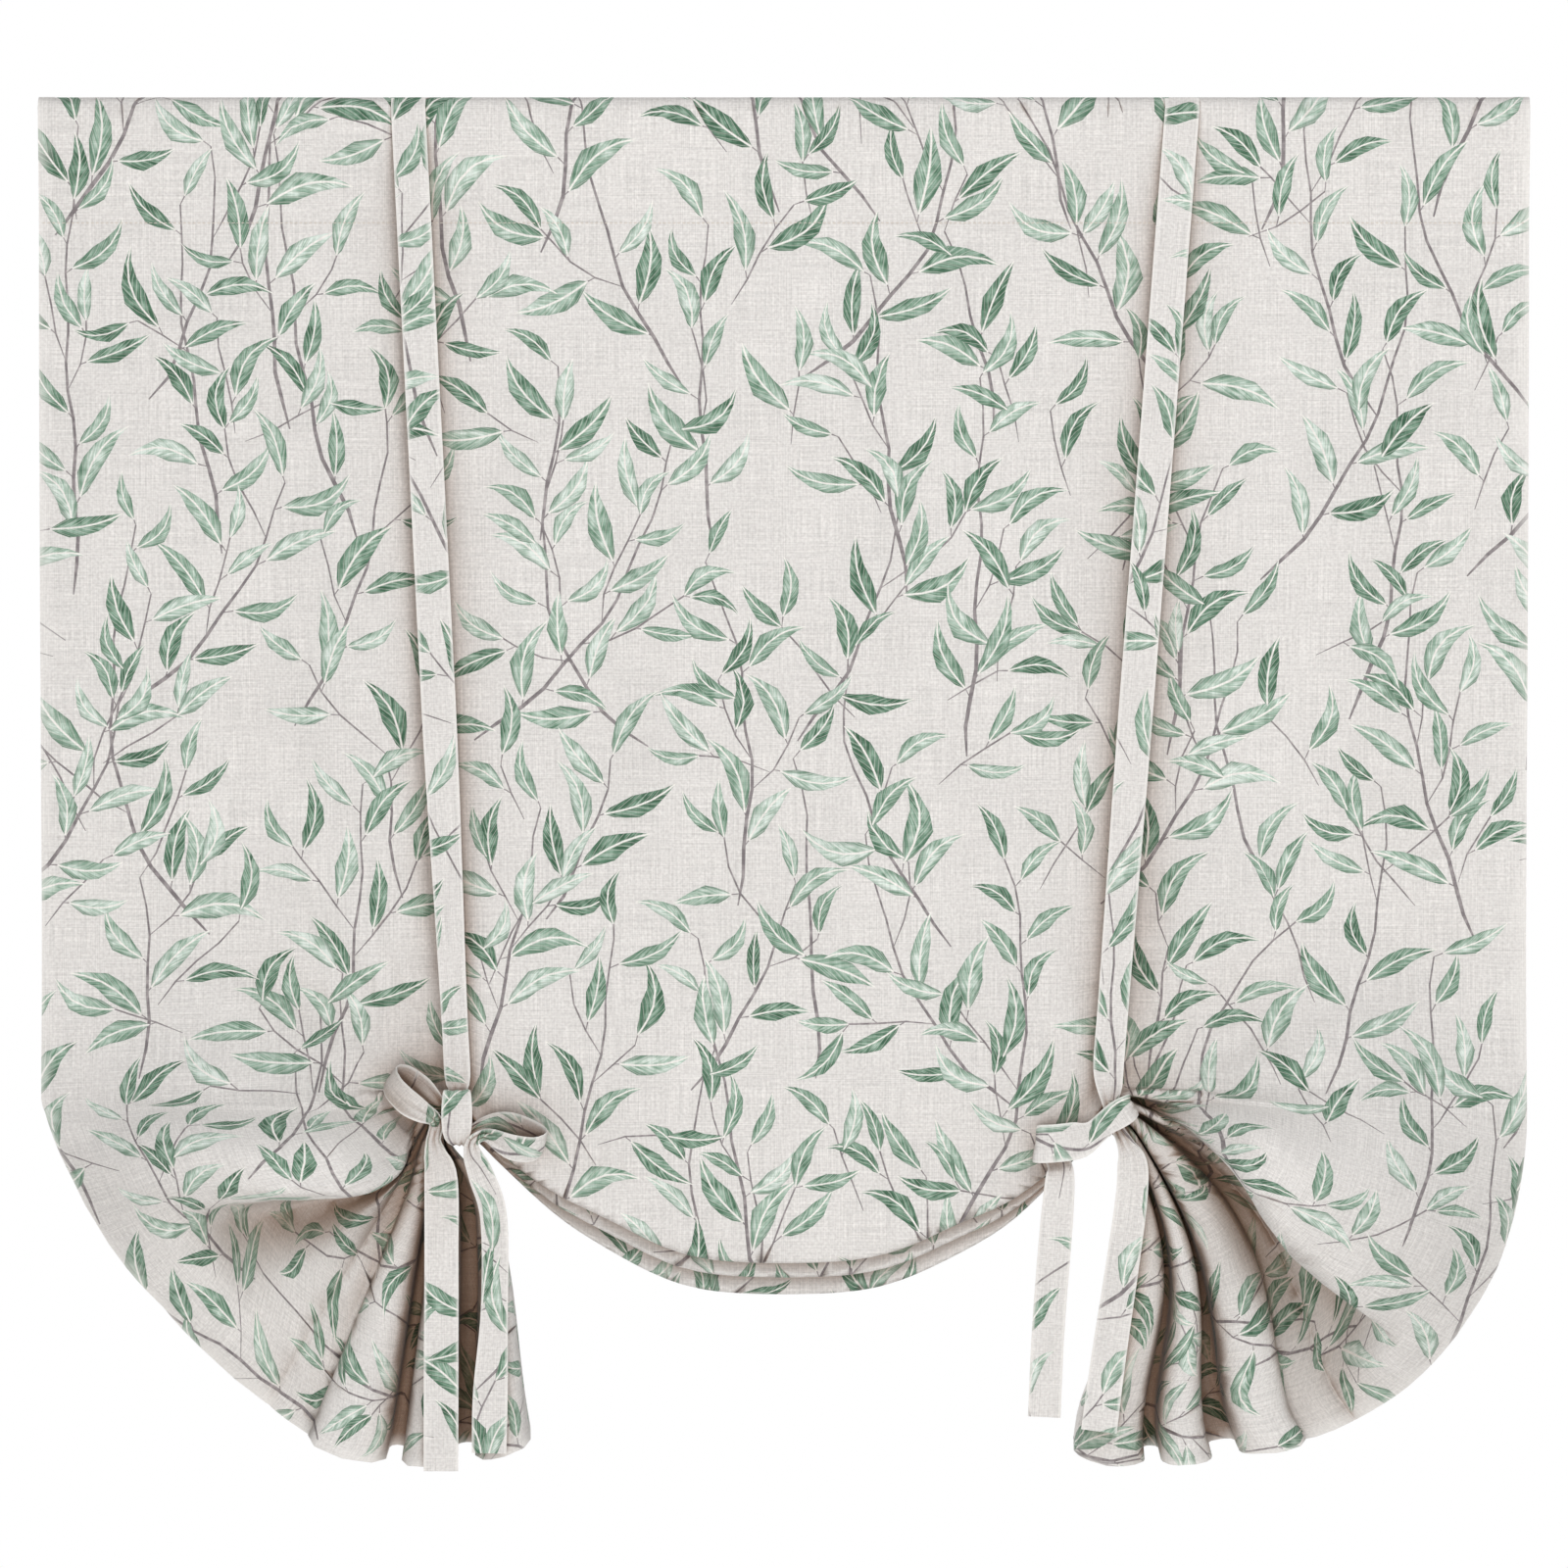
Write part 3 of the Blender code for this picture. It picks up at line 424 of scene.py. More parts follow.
# The print: leafy sprigs on the flat cloth, drawn at their real size before it is folded. Leaves
# have lengths in metres, widths and curves as shares of them, and leans in degrees.
LEAF_SHARES = (0.0, 0.10, 0.24, 0.42, 0.63, 0.83)
LEAF_LENGTH = (0.047, 0.071)
TIP_LEAF_LENGTH = (0.042, 0.056)
LEAF_WIDTH = (0.24, 0.32)
LEAF_CURVE = (0.10, 0.42)
LEAF_LEAN = (28, 58)
EDGE_WAVE = 0.12
STALK_LENGTH = (0.004, 0.009)
STALK_HALVES = (0.0009, 0.0006)
TWIG_HALF = 0.0006
HALF_PER_STEP = 0.00004
BRANCH_STEP = 0.0115
BRANCH_CLEAR = 0.0086
TWIG_CLEAR = 0.0084
TWIG_ROOM = 0.014
TWIG_TRIES = 1150
PRINT_SPACING = 0.138


def leaf_outline(leaf):
    """Points round one printed leaf: pointed, widest below its middle, curved, with wavy edges."""
    base, direction, length, wide, bend, tone = leaf
    along = Vector((math.cos(direction), math.sin(direction)))
    across = Vector((-along.y, along.x))
    right, left = [], []
    for share in LEAF_SHARES:
        middle = wide * bend * leaf_bend(share)
        half = wide / 2.0 * leaf_half(share)
        right_half = half * (1.0 + EDGE_WAVE * math.sin(share * 13.0 + tone * 40.0))
        left_half = half * (1.0 + EDGE_WAVE * math.sin(share * 11.0 + tone * 70.0))
        spot = base + along * share * length
        right.append(spot + across * (middle - right_half))
        left.append(spot + across * (middle + left_half))
    tip = base + along * length + across * wide * bend * leaf_bend(1.0)
    return right + [tip] + left[:0:-1]


def leaf_bend(share):
    """How far a leaf's rib swings to one side, with its tip hooked back to the other."""
    return np.sin(math.pi * share) - 1.3 * share**4


def leaf_half(share):
    """Half width of a leaf along its length, as a share of its widest half."""
    return math.sin(math.pi * share**0.78) ** 1.12 if 0.0 < share < 1.0 else 0.0


def grow_sprigs(width, low, high, seed):
    """A leafy print: winding branches that lean and cross, with side shoots, then twigs between."""
    chance = random.Random(seed)
    leaves, stems = [], []
    known = np.full((1, 2), 9.0)

    def room(points, clear):
        return all(np.min(np.hypot(known[:, 0] - p.x, known[:, 1] - p.y)) > clear for p in points)

    def leaf(base, direction, length, clear):
        nonlocal known
        along = Vector((math.cos(direction), math.sin(direction)))
        marks = [base + along * length * share for share in (0.2, 0.4, 0.6, 0.8, 1.0)]
        if not room(marks, clear):
            return False
        wide = length * chance.uniform(*LEAF_WIDTH)
        bend = chance.choice((-1, 1)) * chance.uniform(*LEAF_CURVE)
        leaves.append((base, direction, length, wide, bend, chance.random()))
        known = np.vstack([known] + [(m.x, m.y) for m in marks[:4]])
        return True

    def sprig(start, heading, steps, curve, clear, bare, shoots):
        nonlocal known
        point, path, side = start.copy(), [start.copy()], chance.choice((-1, 1))
        before = len(leaves), len(stems), known
        leafy = 0
        sway = chance.uniform(0.0, 6.28)
        for step in range(steps):
            heading += curve + 0.10 * math.sin(step * 0.8 + sway) + chance.gauss(0.0, 0.035)
            ahead = Vector((math.cos(heading), math.sin(heading)))
            point = point + ahead * BRANCH_STEP
            path.append(point.copy())
            if step >= bare and step % 2 == 1:
                side = -side
                lean = heading + side * math.radians(chance.uniform(*LEAF_LEAN))
                foot = point + Vector((math.cos(lean), math.sin(lean))) * chance.uniform(*STALK_LENGTH)
                if step in shoots:
                    if sprig(point, lean, chance.randint(5, 8), side * -0.06, clear * 0.9, 1, ()):
                        leafy = len(path)
                elif leaf(foot, lean, chance.uniform(*LEAF_LENGTH) * mix(1.0, 0.8, step / steps), clear):
                    stems.append(([point.copy(), foot], *STALK_HALVES))
                    leafy = len(path)
        if leafy > len(path) - 4 and leaf(point, heading, chance.uniform(*TIP_LEAF_LENGTH), clear):
            path.append(point + ahead * 0.002)
            leafy = len(path)
        if len(leaves) < before[0] + 2:
            del leaves[before[0]:], stems[before[1]:]
            known = before[2]
            return 0
        line = path[:leafy]
        stems.append((line[:-1:2] + line[-1:], TWIG_HALF + HALF_PER_STEP * steps, TWIG_HALF))
        return leafy

    up = -math.pi / 2.0
    rows = int((high - low) / PRINT_SPACING) + 2
    for row in range(rows):
        for place in range(int(width / PRINT_SPACING) + 2):
            x = (place + 0.5 * (row % 2)) * PRINT_SPACING - width / 2.0 - 0.05 + chance.uniform(-0.03, 0.03)
            y = low + row * PRINT_SPACING + 0.08 + chance.uniform(-0.03, 0.03)
            lean = math.radians(chance.uniform(-52, 52))
            shoots = chance.sample((7, 9, 11, 13, 15), 2)
            sprig(Vector((x, y)), up + lean, chance.randint(22, 31), -lean * 0.05, BRANCH_CLEAR, 3, shoots)
    for _ in range(int(width * (high - low) * TWIG_TRIES)):
        start = Vector((chance.uniform(-width / 2, width / 2), chance.uniform(low, high)))
        if room([start], TWIG_ROOM):
            heading = up + math.radians(chance.uniform(-75, 75))
            sprig(start, heading, chance.randint(4, 8), 0.0, TWIG_CLEAR, 1, ())
    return leaves, stems


def stem_outline(stem):
    """Points round one printed stem, which starts and ends narrow."""
    path, first, last = stem
    right, left = [], []
    for i, point in enumerate(path):
        ahead = (path[min(i + 1, len(path) - 1)] - path[max(i - 1, 0)]).normalized()
        half = mix(first, last, i / (len(path) - 1)) * min(1.0, 0.35 + 0.5 * i)
        off = Vector((-ahead.y, ahead.x)) * half
        right.append(point - off)
        left.append(point + off)
    return right + left[::-1]


# Slots of the printed materials
GROUND, LEAF, STEM = 0, 1, 2


def lay_print(grid_across, grid_down, ruled, leaves, stems):
    """The flat cloth cut into triangles along every leaf and stem, each with what is printed on it."""
    wide, tall = grid_down.shape
    points = [Vector((grid_across[i], grid_down[i, j])) for i in range(wide) for j in range(tall)]
    edges = [(i * tall + j, (i + 1) * tall + j) for i in range(wide - 1) for j in range(tall) if ruled[j]]
    border = [i * tall for i in range(wide)]
    border += [(wide - 1) * tall + j for j in range(1, tall)]
    border += [i * tall + tall - 1 for i in range(wide - 2, -1, -1)]
    border += list(range(tall - 2, 0, -1))
    faces = [border]
    kinds = [GROUND]
    for shapes, kind in ((stems, STEM), (leaves, LEAF)):
        for shape in shapes:
            outline = stem_outline(shape) if kind == STEM else leaf_outline(shape)
            faces.append(list(range(len(points), len(points) + len(outline))))
            points += outline
            kinds.append(kind)
    found = delaunay_2d_cdt(points, edges, faces, 0, 1e-7)
    flat = np.array([p[:] for p in found[0]])
    kept, printed, which = [], [], []
    for triangle, owners in zip(found[2], found[5]):
        if 0 in owners:
            top = max(owners)
            kept.append(triangle)
            printed.append(kinds[top])
            which.append(top - 1 - len(stems) if kinds[top] == LEAF else -1)
    return flat, np.array(kept), np.array(printed), np.array(which)


def cloth_object(name, flat, triangles, printed, which, leaves, faces_of, edge_highlight_of, materials):
    """A closed thin solid: the front and back of the cloth, joined round its edge."""
    used, triangles = np.unique(triangles, return_inverse=True)
    triangles = triangles.reshape(-1, 3)
    flat = flat[used]
    count = len(flat)
    front, back, normal = faces_of(flat[:, 0], flat[:, 1])
    sides = np.concatenate([triangles[:, [0, 1]], triangles[:, [1, 2]], triangles[:, [2, 0]]])
    owner = np.tile(np.arange(len(triangles)), 3)
    keys = np.sort(sides, axis=1)
    _, first, times = np.unique(keys, axis=0, return_index=True, return_counts=True)
    rim = first[times == 1]
    a, b = sides[rim, 0], sides[rim, 1]
    edge_quads = np.concatenate([
        np.stack([b + count, a + count, a], axis=1), np.stack([b + count, a, b], axis=1)
    ])
    corners = np.concatenate([triangles[:, ::-1], triangles + count, edge_quads])
    mesh = bpy.data.meshes.new(name)
    mesh.from_pydata(np.concatenate([front, back]), [], corners.tolist())
    kinds = np.concatenate([printed, printed, printed[owner[rim]], printed[owner[rim]]])
    mesh.polygons.foreach_set("material_index", kinds.astype(np.int32))
    mesh.shade_smooth()

    loops = corners.reshape(-1)
    smooth = np.concatenate([-normal, normal])[loops]
    points = np.concatenate([front, back])[corners]
    flat_normal = np.cross(points[:, 1] - points[:, 0], points[:, 2] - points[:, 0])
    flat_normal /= np.maximum(np.linalg.norm(flat_normal, axis=1, keepdims=True), 1e-12)
    rim_loops = 2 * len(triangles) * 3
    smooth[rim_loops:] = np.repeat(flat_normal[2 * len(triangles):], 3, axis=0)
    mesh.normals_split_custom_set(smooth.tolist())

    # Painted highlight along folded edges, which the material reads to mix the colour paler
    pressed = mesh.attributes.new("pressed", "FLOAT", "POINT")
    pressed.data.foreach_set("value", np.tile(edge_highlight_of(flat[:, 0], flat[:, 1]), 2).astype(np.float32))
    both = np.concatenate([flat, flat])
    cloth_map = mesh.uv_layers.new(name="cloth")
    cloth_map.data.foreach_set("uv", both[loops].reshape(-1).astype(np.float32))
    leaf_map = mesh.uv_layers.new(name="leaf")
    ids = np.concatenate([which, which, which[owner[rim]], which[owner[rim]]])
    table = np.array([(leaf[0].x, leaf[0].y, *leaf[1:]) for leaf in leaves] + [(0, 0, 0, 1, 1, 0, 0)])
    own = table[np.repeat(ids, 3)]
    off = both[loops] - own[:, :2]
    along = (off[:, 0] * np.cos(own[:, 2]) + off[:, 1] * np.sin(own[:, 2])) / own[:, 3]
    aside = (-off[:, 0] * np.sin(own[:, 2]) + off[:, 1] * np.cos(own[:, 2])) / own[:, 4] * 2.0
    aside -= 2.0 * own[:, 5] * leaf_bend(np.clip(along, 0.0, 1.0))
    leaf_map.data.foreach_set("uv", np.stack([along, aside], axis=1).reshape(-1).astype(np.float32))
    tone = mesh.attributes.new("tone", "FLOAT", "FACE")
    tone.data.foreach_set("value", table[ids, 6].astype(np.float32))
    for material in materials:
        mesh.materials.append(material)
    made = bpy.data.objects.new(name, mesh)
    bpy.context.scene.collection.objects.link(made)
    return made


def linear(colour):
    """An sRGB hex colour as linear red, green, blue and one."""
    parts = [int(colour[i:i + 2], 16) / 255.0 for i in (1, 3, 5)]
    return [v / 12.92 if v <= 0.04045 else ((v + 0.055) / 1.055) ** 2.4 for v in parts] + [1.0]


def add_node(material, kind, settings=None, **links):
    """Adds one node with its settings, and links its inputs from the sockets given by name."""
    node = material.node_tree.nodes.new(kind)
    for key, value in (settings or {}).items():
        if key.startswith("in "):
            name = key[3:]
            node.inputs[int(name) if name.isdigit() else name].default_value = value
        elif key.startswith("stop "):
            place, colour = value
            index = int(key[5:])
            ramp_stops = node.color_ramp.elements
            stop = ramp_stops[index] if index < len(ramp_stops) else ramp_stops.new(place)
            stop.position, stop.color = place, colour
        else:
            setattr(node, key, value)
    for name, source in links.items():
        name = name.replace("_", " ").strip()
        socket = node.inputs[int(name[1:])] if name[0] == "n" and name[1:].isdigit() else node.inputs[name]
        material.node_tree.links.new(source, socket)
    return node


# Printed linen: a plain weave of uneven flax threads with a matt water-based ink. The threads are
# drawn 0.8 mm apart, which is coarser than the real weave so that it shows, with slubs 45 mm long
# along them. Folds get painted shade, a darkening to warm brown where cloth closes off the light.
THREAD = 0.0008
SLUB = 0.045
# Reach over which nearby cloth darkens the colour as painted fold shade
PAINTED_FOLD_SHADE_REACH = 0.08


def linen(name, paint):
    """The woven ground that every printed colour lies on, with painted shade in its folds and a painted
    highlight along its folded edges. paint gives the colour of the print.
    """
    material = bpy.data.materials.new(name)
    material.use_nodes = True
    shader = material.node_tree.nodes["Principled BSDF"]
    where = add_node(material, "ShaderNodeUVMap", {"uv_map": "cloth"}).outputs["UV"]
    level = add_node(material, "ShaderNodeMapping", {"in Scale": (1 / SLUB, 1 / THREAD, 1)}, Vector=where)
    upright = add_node(material, "ShaderNodeMapping", {"in Scale": (1 / THREAD, 1 / SLUB, 1)}, Vector=where)
    fine = {"in Scale": 1.0, "in Detail": 2.0}
    weft = add_node(material, "ShaderNodeTexNoise", fine, Vector=level.outputs[0])
    warp = add_node(material, "ShaderNodeTexNoise", fine, Vector=upright.outputs[0])
    threads = add_node(
        material, "ShaderNodeMath", {"operation": "ADD"}, n0=weft.outputs[0], n1=warp.outputs[0]
    )
    blotch = add_node(material, "ShaderNodeTexNoise", {"in Scale": 9.0, "in Detail": 3.0}, Vector=where)
    colour = paint(material, where)
    shade = add_node(
        material, "ShaderNodeMapRange",
        {"in From Min": 0.6, "in From Max": 1.4, "in To Min": 0.80, "in To Max": 1.20},
        Value=threads.outputs[0],
    )
    cloudy = add_node(
        material, "ShaderNodeMapRange",
        {"in From Min": 0.3, "in From Max": 0.7, "in To Min": 0.97, "in To Max": 1.02},
        Value=blotch.outputs[0],
    )
    both = add_node(
        material, "ShaderNodeMath", {"operation": "MULTIPLY"}, n0=shade.outputs[0], n1=cloudy.outputs[0]
    )
    woven = add_node(
        material, "ShaderNodeVectorMath", {"operation": "SCALE"}, n0=colour, Scale=both.outputs[0]
    )
    # Painted shade: the colour darkens towards warm brown in folds, where nearby cloth closes off the light
    fold_closeness = add_node(
        material, "ShaderNodeAmbientOcclusion", {"in Distance": PAINTED_FOLD_SHADE_REACH, "samples": 8}
    )
    fold = add_node(
        material, "ShaderNodeValToRGB",
        {"stop 0": (0.20, linear("#A5866F")), "stop 1": (0.94, (1.0, 1.0, 1.0, 1.0))},
        Fac=fold_closeness.outputs["AO"],
    )
    fold_shaded = add_node(
        material, "ShaderNodeVectorMath", {"operation": "MULTIPLY"}, n0=woven.outputs[0], n1=fold.outputs[0]
    )
    # Painted highlight: the colour is mixed towards pale cream along folded edges, where light would catch
    # the threads
    painted_edge_highlight = add_node(material, "ShaderNodeAttribute", {"attribute_name": "pressed"}).outputs["Fac"]
    pale = add_node(material, "ShaderNodeMath", {"operation": "MULTIPLY", "in 1": 0.75}, n0=painted_edge_highlight)
    highlighted = add_node(
        material, "ShaderNodeMix", {"data_type": "RGBA", "in 7": linear("#EFECE8")},
        n0=pale.outputs[0], n6=fold_shaded.outputs[0],
    )
    material.node_tree.links.new(highlighted.outputs[2], shader.inputs["Base Color"])
    relief = add_node(
        material, "ShaderNodeBump", {"in Strength": 0.35, "in Distance": 0.0006}, Height=threads.outputs[0]
    )
    material.node_tree.links.new(relief.outputs[0], shader.inputs["Normal"])
    shader.inputs["Roughness"].default_value = 0.92
    shader.inputs["Specular IOR Level"].default_value = 0.18
    shader.inputs["Sheen Weight"].default_value = 0.12
    shader.inputs["Sheen Roughness"].default_value = 0.6
    return material


def ground_paint(material, where):
    """Oatmeal linen, a little greyer along some threads."""
    fleck = add_node(material, "ShaderNodeTexNoise", {"in Scale": 420.0, "in Detail": 1.0}, Vector=where)
    return add_node(
        material, "ShaderNodeValToRGB",
        {"stop 0": (0.30, linear("#D5D1CE")), "stop 1": (0.70, linear("#E6E3E0"))}, Fac=fleck.outputs[0],
    ).outputs[0]


def leaf_paint(material, where):
    """Sage greens in a watery print, darker round the edge, with pale veins."""
    local = add_node(material, "ShaderNodeUVMap", {"uv_map": "leaf"}).outputs["UV"]
    split = add_node(material, "ShaderNodeSeparateXYZ", Vector=local)
    tone = add_node(material, "ShaderNodeAttribute", {"attribute_name": "tone"}).outputs["Fac"]
    out = add_node(material, "ShaderNodeMath", {"operation": "ABSOLUTE"}, n0=split.outputs[1])
    lag = add_node(material, "ShaderNodeMath", {"operation": "MULTIPLY", "in 1": -2.4}, n0=out.outputs[0])
    veins = add_node(
        material, "ShaderNodeMath", {"operation": "MULTIPLY_ADD", "in 1": 8.0},
        n0=split.outputs[0], n2=lag.outputs[0],
    )
    hatch_place = add_node(
        material, "ShaderNodeCombineXYZ", X=veins.outputs[0], Y=split.outputs[1], Z=tone
    )
    stretched = add_node(
        material, "ShaderNodeMapping", {"in Scale": (2.6, 1.3, 40.0)}, Vector=hatch_place.outputs[0]
    )
    hatching = add_node(
        material, "ShaderNodeTexNoise", {"in Scale": 1.0, "in Detail": 3.0}, Vector=stretched.outputs[0]
    )
    wash = add_node(material, "ShaderNodeTexNoise", {"in Scale": 90.0, "in Detail": 4.0}, Vector=where)
    inked = add_node(
        material, "ShaderNodeMath", {"operation": "ADD"}, n0=wash.outputs[0], n1=hatching.outputs[0]
    )
    mixed = add_node(
        material, "ShaderNodeMath", {"operation": "MULTIPLY_ADD", "in 1": 2.0}, n0=inked.outputs[0], n2=tone
    )
    shared = add_node(
        material, "ShaderNodeMath", {"operation": "MULTIPLY", "in 1": 0.205}, n0=mixed.outputs[0]
    )
    greens = add_node(
        material, "ShaderNodeValToRGB",
        {
            "stop 0": (0.37, linear("#41634D")), "stop 1": (0.66, linear("#DEE7E0")),
            "stop 2": (0.45, linear("#74947F")), "stop 3": (0.56, linear("#A8BEAF")),
        },
        Fac=shared.outputs[0],
    )
    turn = add_node(
        material, "ShaderNodeMath", {"operation": "MULTIPLY", "in 1": math.pi}, n0=split.outputs[0]
    )
    arc = add_node(material, "ShaderNodeMath", {"operation": "SINE"}, n0=turn.outputs[0])
    rib = add_node(
        material, "ShaderNodeMapRange",
        {"in From Min": 0.05, "in From Max": 0.12, "in To Min": 1.0, "in To Max": 0.0}, Value=out.outputs[0],
    )
    saw = add_node(material, "ShaderNodeMath", {"operation": "FRACT"}, n0=veins.outputs[0])
    side_vein = add_node(
        material, "ShaderNodeMapRange",
        {"in From Min": 0.06, "in From Max": 0.22, "in To Min": 0.48, "in To Max": 0.0}, Value=saw.outputs[0],
    )
    safe = add_node(material, "ShaderNodeMath", {"operation": "MAXIMUM", "in 1": 0.08}, n0=arc.outputs[0])
    share = add_node(
        material, "ShaderNodeMath", {"operation": "DIVIDE"}, n0=out.outputs[0], n1=safe.outputs[0]
    )
    edge = add_node(
        material, "ShaderNodeMapRange",
        {"in From Min": 0.58, "in From Max": 1.0, "in To Min": 0.0, "in To Max": 0.7}, Value=share.outputs[0],
    )
    rimmed = add_node(
        material, "ShaderNodeMix",
        {"data_type": "RGBA", "in 7": linear("#4C7059")}, n0=edge.outputs[0], n6=greens.outputs[0],
    )
    veined = add_node(
        material, "ShaderNodeMix",
        {"data_type": "RGBA", "in 7": linear("#DAD9D2")}, n0=side_vein.outputs[0], n6=rimmed.outputs[2],
    )
    ribbed = add_node(
        material, "ShaderNodeMix",
        {"data_type": "RGBA", "in 7": linear("#EEEBE6")}, n0=rib.outputs[0], n6=veined.outputs[2],
    )
    return ribbed.outputs[2]


def stem_paint(material, where):
    """Grey-mauve stems, thinner in places where the ink has not taken."""
    faint = add_node(material, "ShaderNodeTexNoise", {"in Scale": 140.0, "in Detail": 2.0}, Vector=where)
    return add_node(
        material, "ShaderNodeValToRGB",
        {"stop 0": (0.4, linear("#7F787A")), "stop 1": (0.7, linear("#A9A2A2"))}, Fac=faint.outputs[0],
    ).outputs[0]


PRINTED = (
    linen("oatmeal linen", ground_paint),
    linen("green leaf print on linen", leaf_paint),
    linen("grey stem print on linen", stem_paint),
)


def painted_hem_highlight(across, down):
    """Painted highlight along the folded hem edges: a paler colour where light would catch the threads at the
    fold.
    """
    off = np.minimum(PANEL_WIDTH / 2.0 - np.abs(across), PANEL_LENGTH - down)
    return 0.7 * (1.0 - ramp(0.0, 0.0035, off))


def panel_grid():
    """The places where the cloth is worked out: closer together in the gathers and the turns.

    A ruled row is also an edge of the mesh, so that no printed leaf bridges a sharp fold there.
    """
    inner = GATHER_ACROSS - NECK
    swag = [inner * (1.0 - (1.0 - k / 24.0) ** 1.35) for k in range(24)]
    neck = [inner + NECK * k / 3.0 for k in range(7)]
    outer = [inner + 2 * NECK + TAIL_WIDTH * (k / 34.0) ** 1.25 for k in range(1, 35)]
    edge = PANEL_WIDTH / 2.0 - HEM_WIDTH
    outer = sorted([p for p in outer if abs(p - edge) > 0.003] + [edge - 0.0008, edge])
    right = swag + neck + outer
    across = np.array([-p for p in right[:0:-1]] + right)
    c = column(across)
    rows, ruled = [], []

    def row(values, rule):
        rows.append(np.broadcast_to(values, across.shape))
        ruled.append(rule)

    for down in np.linspace(-POCKET_HEIGHT - POCKET_TURN, -0.014, 6):
        row(down, False)
    for down in (-0.009, -0.0045, 0.0, 0.0045, 0.009, 0.014):
        row(down, down in (-0.009, 0.0, 0.009))
    for k in range(1, 6):
        row(mix(0.014, POCKET_HEIGHT, k / 6.0), False)
    row(POCKET_HEIGHT, True)
    front = c["first_turn"] - 0.05
    for k in range(1, 20):
        row(mix(POCKET_HEIGHT, front, k / 19.0), False)
    for back in (0.042, 0.034, 0.026, 0.018, 0.010):
        row(c["first_turn"] - back, back in (0.034, 0.018))
    for turn in range(TURNS):
        before = c["share"][turn]
        after = c["share"][turn + 1] if turn < TURNS - 1 else 0.03
        for at in (-1.0, -0.5, 0.0, 0.5, 1.0):
            place = c["first_turn"] + c["leg"] * (turn + before * at)
            row(true_down(across, place), at == 0.0)
        for k in (0.25, 0.5, 0.75):
            place = c["first_turn"] + c["leg"] * (turn + mix(before, 1.0 - after, k))
            above_hem = HEM_ROW - 0.004 + 0.003 * k
            row(np.minimum(true_down(across, place), above_hem), turn < 3 and k == 0.5)
    row(HEM_ROW, True)
    row(HEM_ROW + HEM_STEP, True)
    row(PANEL_LENGTH, True)
    return across, np.stack(rows, axis=1), ruled


panel_leaves, panel_stems = grow_sprigs(PANEL_WIDTH + 0.04, -0.12, PANEL_LENGTH + 0.02, seed=11)
cut = lay_print(*panel_grid(), panel_leaves, panel_stems)
panel = cloth_object("printed_panel", *cut, panel_leaves, panel_faces, painted_hem_highlight, PRINTED)
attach(panel, "root")
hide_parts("panel")

# The pocket stitching
# One row of cream lockstitches 97 mm below the header fold closes the rod pocket. Each stitch is
# about half a millimetre thick and dips into the linen at its ends.

STITCH = 0.0031
STITCH_GAP = 0.0007
THREAD_HEIGHT = 0.00032
THREAD_WIDTH = 0.00036
THREAD_PROUD = 0.00012
BELOW_POCKET = 0.0012
HEM_CLEAR = 0.002


def stitch_row(name, reach, place_on, material):
    """Small pointed lozenges laid end to end along a line on the cloth."""
    count = int(2 * reach / (STITCH + STITCH_GAP))
    starts = (np.arange(count) + 0.5) * (STITCH + STITCH_GAP) - reach
    points, corners = [], []
    for share, size in ((-0.5, 0.0), (-0.22, 1.0), (0.22, 1.0), (0.5, 0.0)):
        middle, outward, side = place_on(starts + share * STITCH)
        for k in range(4):
            angle = math.pi / 4.0 + math.pi / 2.0 * k
            off = outward * math.cos(angle) * THREAD_HEIGHT + side * math.sin(angle) * THREAD_WIDTH
            points.append(middle + off * size + outward * (THREAD_PROUD if size else -THREAD_PROUD))
    points = np.array(points)
    each = np.arange(count)
    for ring in range(3):
        for k in range(4):
            a, b = ring * 4 + k, ring * 4 + (k + 1) % 4
            corners.append(np.stack([corner * count + each for corner in (a, b, b + 4, a + 4)], axis=1))
    mesh = bpy.data.meshes.new(name)
    mesh.from_pydata(points.reshape(-1, 3), [], np.concatenate(corners).tolist())
    mesh.validate()
    mesh.shade_smooth()
    mesh.materials.append(material)
    made = bpy.data.objects.new(name, mesh)
    bpy.context.scene.collection.objects.link(made)
    return made


def seam_line(across):
    """Points on the panel's front just below the pocket, with the ways outward and up."""
    front, _, normal = panel_faces(across, np.full(len(across), POCKET_HEIGHT + BELOW_POCKET))
    side = np.zeros_like(normal)
    side[:, 2] = 1.0
    return front, -normal, side


# Sewing thread: spun polyester, a smooth soft cream line over the weave.
thread = bpy.data.materials.new("cream sewing thread")
thread.use_nodes = True
thread_shader = thread.node_tree.nodes["Principled BSDF"]
twist = add_node(thread, "ShaderNodeTexNoise", {"in Scale": 900.0, "in Detail": 1.0})
twisted = add_node(
    thread, "ShaderNodeValToRGB",
    {"stop 0": (0.35, linear("#D3CABF")), "stop 1": (0.65, linear("#E9E2D8"))}, Fac=twist.outputs[0],
)
thread.node_tree.links.new(twisted.outputs[0], thread_shader.inputs["Base Color"])
thread_shader.inputs["Roughness"].default_value = 0.6

pocket_stitching = stitch_row("pocket_stitching", PANEL_WIDTH / 2.0 - HEM_CLEAR, seam_line, thread)
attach(pocket_stitching, "root")

# The ties
# Four flat tubes of the same linen, 27 mm wide, sewn inside out and turned. Each is stitched into
# the header, hangs down one face of the panel, and meets its partner below the folds: the left
# pair in a bow, the right pair in a plain knot with two hanging ends.

TIE_WIDTH = 0.027
TIE_THICKNESS = 0.0019
TIE_CLEARANCE = 0.0004
